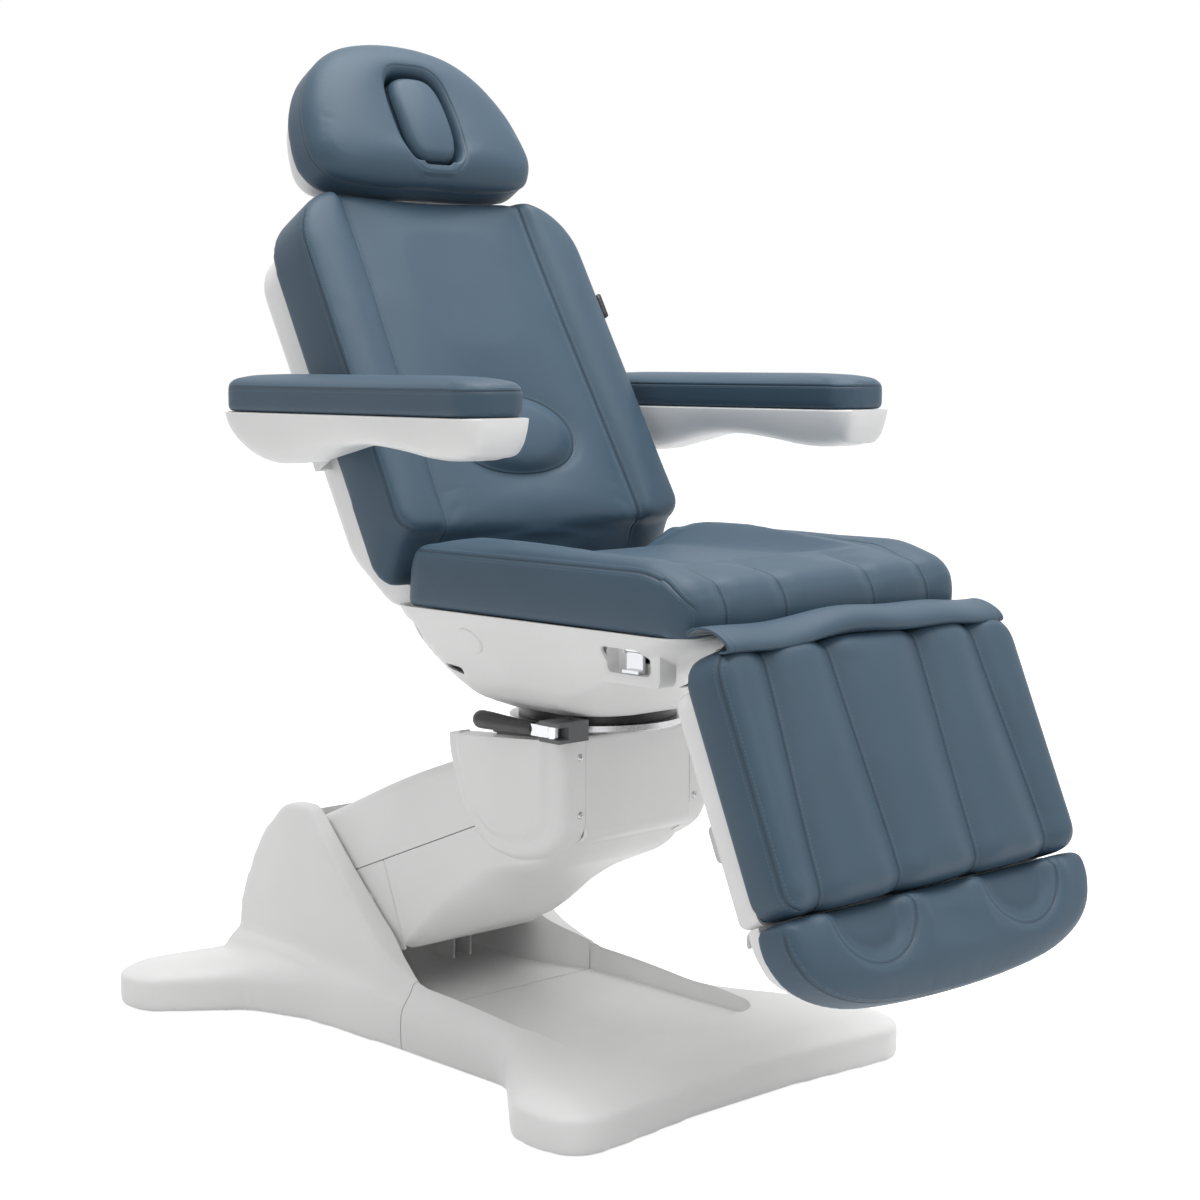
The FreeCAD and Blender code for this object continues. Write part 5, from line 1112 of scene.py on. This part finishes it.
# %% Seat pan
PAN_Z = [512, 524, 548, 576, 602, 632, 648, 659.2]
PAN_X = [116, 146, 180, 206, 226, 246, 257, 262]
PAN_FRONT = [122, 168, 226, 292, 350, 396, 418, 428]
PAN_REAR = [94, 120, 134, 140, 144, 144, 144, 144]
PAN_ROUND = [60, 72, 76, 68, 60, 52, 46, 42]
PAN_COUNT = 240


def pan_ring(z, inwards=0.0):
    rows = (PAN_X, PAN_FRONT, PAN_REAR, PAN_ROUND)
    half, front_y, rear_y, radius = (curve(z, PAN_Z, row) for row in rows)
    half, front_y, rear_y = half - inwards, front_y - inwards, rear_y - inwards
    loop = rounded(mirror_half([(half, -front_y, radius * 1.3), (half, rear_y, radius)]), 5.0)
    around = np.sum(np.linalg.norm(np.diff(np.vstack([loop, loop[:1]]), axis=0), axis=1))
    return level(walk(loop, around / PAN_COUNT)[:PAN_COUNT], z)


heights = np.linspace(512, 659.2, 34)
outer = [pan_ring(z) for z in heights]
inner = [pan_ring(z, 5.0) for z in heights[::-1] if z > 519]
pan = mesh_object("seat_pan_shell", rings_bmesh(outer + inner, FLAT), WHITE)
LINER_SIDE = [(-366, 592, 8), (-258, 592, 8), (-258, 652, 8), (-366, 652, 8)]
WINDOW_SIDE = [(-352, 605, 9), (-272, 605, 9), (-270, 639, 9), (-346, 639, 12)]
for sign in (1, -1):
    liner = mesh_object("liner", prism(LINER_SIDE, "x", *sorted((sign * 208, sign * 236))), WHITE)
    modify(pan, "BOOLEAN", object=liner, operation="UNION", solver="EXACT")
    bake(pan)
    bpy.data.objects.remove(liner)
for sign in (1, -1):
    window = prism(WINDOW_SIDE, "x", *sorted((sign * 216, sign * 270)), 3.0)
    carve(pan, mesh_object("window", window, WHITE))
hole = bmesh.new()
bmesh.ops.create_cone(hole, cap_ends=True, segments=64, radius1=0.1145, radius2=0.1145, depth=0.06)
bmesh.ops.translate(hole, verts=hole.verts[:], vec=(0, 0, 0.52))
carve(pan, mesh_object("hole", hole, WHITE))
NOTCHES = [(79, 129, 84, 164, 556), (-129, -79, -430, -288, 556), (166, 214, 104, 146, 614),
           (-214, -166, 104, 146, 614), (126, 174, -430, -368, 616), (-174, -126, -430, -368, 616)]
for x0, x1, y0, y1, z0 in NOTCHES:
    notch = prism([(x0, y0, 0), (x1, y0, 0), (x1, y1, 0), (x0, y1, 0)], "z", z0, 662)
    carve(pan, mesh_object("notch", notch, WHITE))
grip = prism([(98, 612, 10), (160, 606, 0), (160, 640, 0), (104, 640, 8)], "x", -280, -224)
carve(pan, mesh_object("grip_recess", grip, WHITE))
vent = prism([(52, 574, 3), (58, 563, 3), (86, 571, 3), (88, 579, 3)], "x", -240, -170)
carve(pan, mesh_object("vent", vent, WHITE))
modify(pan, "BEVEL", width=0.0018, segments=2, limit_method="ANGLE", angle_limit=math.radians(50))
bake(pan)
finish_shell(pan, "seat", "seat_pan")

# %% [markdown]
# ## Shells behind the padding
# The back, the headrest, the leg section and the foot section each have a shallow moulded shell
# behind their padding. Each is a dish: rings from the open rim to a flat rear face, and the
# inside again.

# %% Dished shells


def dish(name, body, node, loop, matrix, rim, rear, wall, belly):
    """A dished shell with a wide rounded rear edge, open at its rim."""
    toward = 1 if rear > rim else -1
    deep = abs(rear - rim)
    inside = inset(loop, wall)
    rings = [level(inset(loop, wall + belly * 0.8), rear - toward * wall),
             level(inside, rear - toward * min(deep - 1, wall + belly)),
             level(inside, rim), level(loop, rim)]
    for k in range(11):
        a = math.pi / 2 * k / 10
        height = rear - toward * belly * 0.9 * (1 - math.sin(a))
        rings.append(level(inset(loop, belly * (1 - math.cos(a))), height))
    cover = mesh_object(name, rings_bmesh(rings, matrix), WHITE)
    return finish_shell(cover, body, node)


back_shell_loop = rounded(mirror_half([(206, 32, 40), (250, 120, 80), (250, 604, 70)]))
dish("back_shell_cover", "back", "back_shell", back_shell_loop, BACK, -0.2, -72, 4, 34)
leg_shell_loop = rounded(mirror_half([(272, 48, 26), (272, 340, 12)]))
dish("leg_shell_cover", "leg", "leg_shell", leg_shell_loop, LEG, -0.2, -44, 4, 22)
foot_shell_loop = inset(foot_loop, 12)
foot_shell_loop[:, 1] -= 14 * (1 - step(foot_shell_loop[:, 1], 352, 400))
dish("headrest_shell_cover", "headrest", "headrest_shell", inset(head_loop, 14), BACK, 48, 12.4, 4, 26)
dish("foot_shell_cover", "foot", "foot_shell", foot_shell_loop, LEG, -0.2, -29.8, 4, 20)

# %% [markdown]
# ## Armrest trays
# Each tray is a long boat: flat above, with an underside that dips towards both ends. Sections
# across the length change their depth along a smooth line.

# %% Armrest trays
TRAY_TOP = 921.9
TRAY_Y = [-203, -197, -175, -140, -100, -40, 33, 90, 150, 213, 250, 300, 335, 350]
TRAY_Z = [908, 886, 872, 867, 868, 876, 882, 879, 866, 853, 852, 866, 890, 906]


def tray_section(y, sign):
    low = curve(y, TRAY_Y, TRAY_Z)
    ends = min(1.0, math.sqrt(max(0.0, 1 - max(0.0, (abs(y - 72.5) - 237) / 41) ** 2)) * 0.96 + 0.04)
    half = ARMREST_HALF * (0.62 + 0.38 * ends) - 0.5
    count = 40
    ring = []
    for k in range(count):
        a = 2 * math.pi * k / count
        c, q = math.cos(a), math.sin(a)
        wide = math.copysign(abs(c) ** 0.42, c)
        if q >= 0:
            ring.append((sign * ARMREST_X + half * wide, y, TRAY_TOP - 3 * (1 - abs(q) ** 0.3)))
        else:
            sink = abs(q) ** 0.62
            x = sign * ARMREST_X + half * wide * (1 - 0.10 * sink)
            ring.append((x, y, TRAY_TOP - 3 - (TRAY_TOP - 3 - low) * sink))
    return np.array(ring)


stations = np.concatenate([np.linspace(-203, -150, 12), np.linspace(-138, 290, 30),
                           np.linspace(298, 350, 12)])
BOSS_RADIUS = 0.02
for side_name, sign in (("right", -1), ("left", 1)):
    boss = bmesh.new()
    turn = Matrix.Translation((sign * 0.287, 0.2454, 0.8785)) @ Matrix.Rotation(math.pi / 2, 4, "Y")
    bmesh.ops.create_cone(boss, cap_ends=True, segments=40, radius1=BOSS_RADIUS, radius2=BOSS_RADIUS,
                          depth=0.0186, matrix=turn)
    boat = rings_bmesh([tray_section(y, sign) for y in stations])
    tray = joined(f"armrest_tray_{side_name}", [boat, boss], WHITE)
    finish_shell(tray, f"armrest_{side_name}", f"armrest_shell_{side_name}", angle=60)

# %% [markdown]
# ## Small pieces
# The remaining pieces keep the construction model's form and get their looks by material. Those
# that show in front are drawn again in more detail: the brake grip, screws, caps and tab.

# %% Looks by material
LOOKS = {"upholstery": UPHOLSTERY, "white_shell": WHITE, "frame_paint": PAINT, "bright_steel": STEEL,
         "chrome": CHROME, "black_plastic": BLACK, "grey_plastic": GREY, "rubber": RUBBER}
for row in frame["record"]["subparts"]:
    mesh = frame["nodes"][row["node"]].data
    mesh.materials.clear()
    mesh.materials.append(LOOKS[row["material_slot"]])
for name, look in (("armrest_stays", WHITE), ("base_frame", WHITE), ("clamp_block", PAINT)):
    mesh = frame["nodes"][name].data
    mesh.materials.clear()
    mesh.materials.append(look)
print("looks set on", len(frame["nodes"]), "nodes")

# %% [markdown]
# Turned pieces are profiles spun about an axis, as on a lathe.

# %% Turned pieces


def turned(profile, matrix, count=40):
    """A spun form: profile rows are (along, radius) in millimetres, along the matrix's z."""
    angle = np.linspace(0, 2 * math.pi, count, endpoint=False)
    circle = np.column_stack([np.cos(angle), np.sin(angle)])
    return rings_bmesh([level(max(radius, 0.02) * circle, along) for along, radius in profile], matrix)


def facing(place, direction):
    """Frame at a place, in millimetres, with its z along a direction."""
    turn = Vector(direction).to_track_quat("Z", "Y").to_matrix().to_4x4()
    return Matrix.Translation(Vector(place) * MM) @ turn


GRIP = [(-46, 6.5), (-45.4, 8.6), (-43, 9.1), (-24, 9.3), (6, 10.5), (40, 12.4), (60, 13), (67, 12.6),
        (71, 10.8), (72.4, 7), (72.6, 0)]
grip = mesh_object("brake_grip_handle", turned(GRIP, facing((-160, 0, 497), (0, 1, 0))), BLACK)
finish_shell(grip, "brake_lever", "brake_lever_grip", angle=50, slot="black_plastic")

# %% [markdown]
# Four pan-head screws hold the head's covers. Each has a cross recess.

# %% Screws
SCREW = [(-1, 5.2), (0.2, 5.2), (1.2, 4.6), (1.9, 3.2), (2.2, 0)]
SCREW_PLACES = [(x, z) for x in (-110, 110) for z in (376, 456)]
heads = [turned(SCREW, facing((x, -84, z), (0, -1, 0)), 28) for x, z in SCREW_PLACES]
screws = joined("head_screws", heads, STEEL)
for x, z in SCREW_PLACES:
    for wide, high in ((5.2, 1.1), (1.1, 5.2)):
        half_wide, half_high = wide / 2, high / 2
        bar = [(x - half_wide, z - half_high, 0), (x + half_wide, z - half_high, 0),
               (x + half_wide, z + half_high, 0), (x - half_wide, z + half_high, 0)]
        carve(screws, mesh_object("cross", prism(bar, "y", -90, -84.6), STEEL))
finish_shell(screws, "head", "head_cover_screws", angle=40, slot="bright_steel")

# %% [markdown]
# Flat round caps close the bolt holes in the pan. Small plugs close the screw holes of the arm.
# A plain dark tag stands at the edge of the back.

# %% Caps and plugs
CAP = [(-3, 21), (1.2, 21), (2.1, 20.3), (2.6, 18), (2.8, 0)]
tilt = math.radians(32)
caps = []
for sign in (-1, 1):
    caps.append(turned(CAP, facing((sign * 238.6, -7, 620), (sign * math.cos(tilt), 0, -math.sin(tilt)))))
finish_shell(joined("pan_cap_discs", caps, WHITE), "seat", "pan_caps", angle=50)
PLUG = [(-2, 6.5), (0.3, 6.5), (1.2, 5.4), (1.7, 3), (1.8, 0)]


def plugs(name, body, places):
    """Small domed plugs on the covers: each row is a place and the way it faces."""
    forms = [turned(PLUG, facing(place, direction), 24) for place, direction in places]
    item = joined(name, forms, WHITE)
    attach(item, body)
    return item


arm_at = ARM @ Vector((0.128, 0.0956, -0.069)) / MM
plugs("arm_plugs", "lift_arm", [((sign * 128, arm_at.y, arm_at.z), (sign, 0, 0)) for sign in (-1, 1)])
tab = rounded([(263, 430, 3), (271, 430, 3), (271, 470, 3), (263, 470, 3)], 1.0)
label = mesh_object("back_tab", rings_bmesh([level(tab, 78), level(tab, 90)], BACK), BLACK)
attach(label, "back")
print("caps, plugs and tab")

# %% [markdown]
# ## Studio
# The table stands on a pale floor under soft lamps: most of the light comes from above. The
# white backdrop is there only for the camera and for reflections, so it doesn't light the
# object.

# %% Studio
bpy.ops.mesh.primitive_plane_add(size=60, location=(0, 0, -0.0005))
floor = bpy.context.object
floor.name = "floor"
paper = Recipe("floor", roughness=0.95)
rays = paper.add("LightPath").outputs
mirrored_rays = paper.math("MAXIMUM", rays["Is Glossy Ray"], rays["Is Transmission Ray"])
shown = paper.math("MAXIMUM", rays["Is Camera Ray"], mirrored_rays)
paper.colour(paper.mix(shown, (0.66, 0.66, 0.66, 1), (0.80, 0.80, 0.80, 1)))
paper.put((1, 1, 1, 1), paper.shader.inputs["Emission Color"])
paper.put(paper.math("MULTIPLY", shown, 0.70), paper.shader.inputs["Emission Strength"])
floor.data.materials.append(paper.material)
world = bpy.data.worlds.new("studio")
bpy.context.scene.world = world
world.use_nodes = True
tree = world.node_tree
background = tree.nodes["Background"]
background.inputs[0].default_value = (1, 1, 1, 1)
path = tree.nodes.new("ShaderNodeLightPath")
seen = tree.nodes.new("ShaderNodeMath")
seen.operation = "MAXIMUM"
tree.links.new(path.outputs["Is Camera Ray"], seen.inputs[0])
tree.links.new(path.outputs["Is Glossy Ray"], seen.inputs[1])
strength = tree.nodes.new("ShaderNodeMapRange")
tree.links.new(seen.outputs[0], strength.inputs[0])
strength.inputs[3].default_value = 0.52
strength.inputs[4].default_value = 1.0
tree.links.new(strength.outputs[0], background.inputs[1])


def soft_light(name, place, target, size, power):
    data = bpy.data.lights.new(name, "AREA")
    data.shape = "RECTANGLE"
    data.size, data.size_y = size
    data.energy = power
    item = bpy.data.objects.new(name, data)
    bpy.context.scene.collection.objects.link(item)
    item.location = place
    item.rotation_euler = (Vector(target) - Vector(place)).to_track_quat("-Z", "Y").to_euler()
    return item


lights = [
    soft_light("front", (0.9, -4.0, 3.0), (0, 0, 0.7), (2.4, 2.0), 32),
    soft_light("top", (0.3, -0.2, 4.2), (0, 0.0, 0.6), (3.0, 3.0), 150),
    soft_light("side", (-4.0, -0.6, 1.6), (0, 0, 0.6), (2.0, 2.4), 8),
]
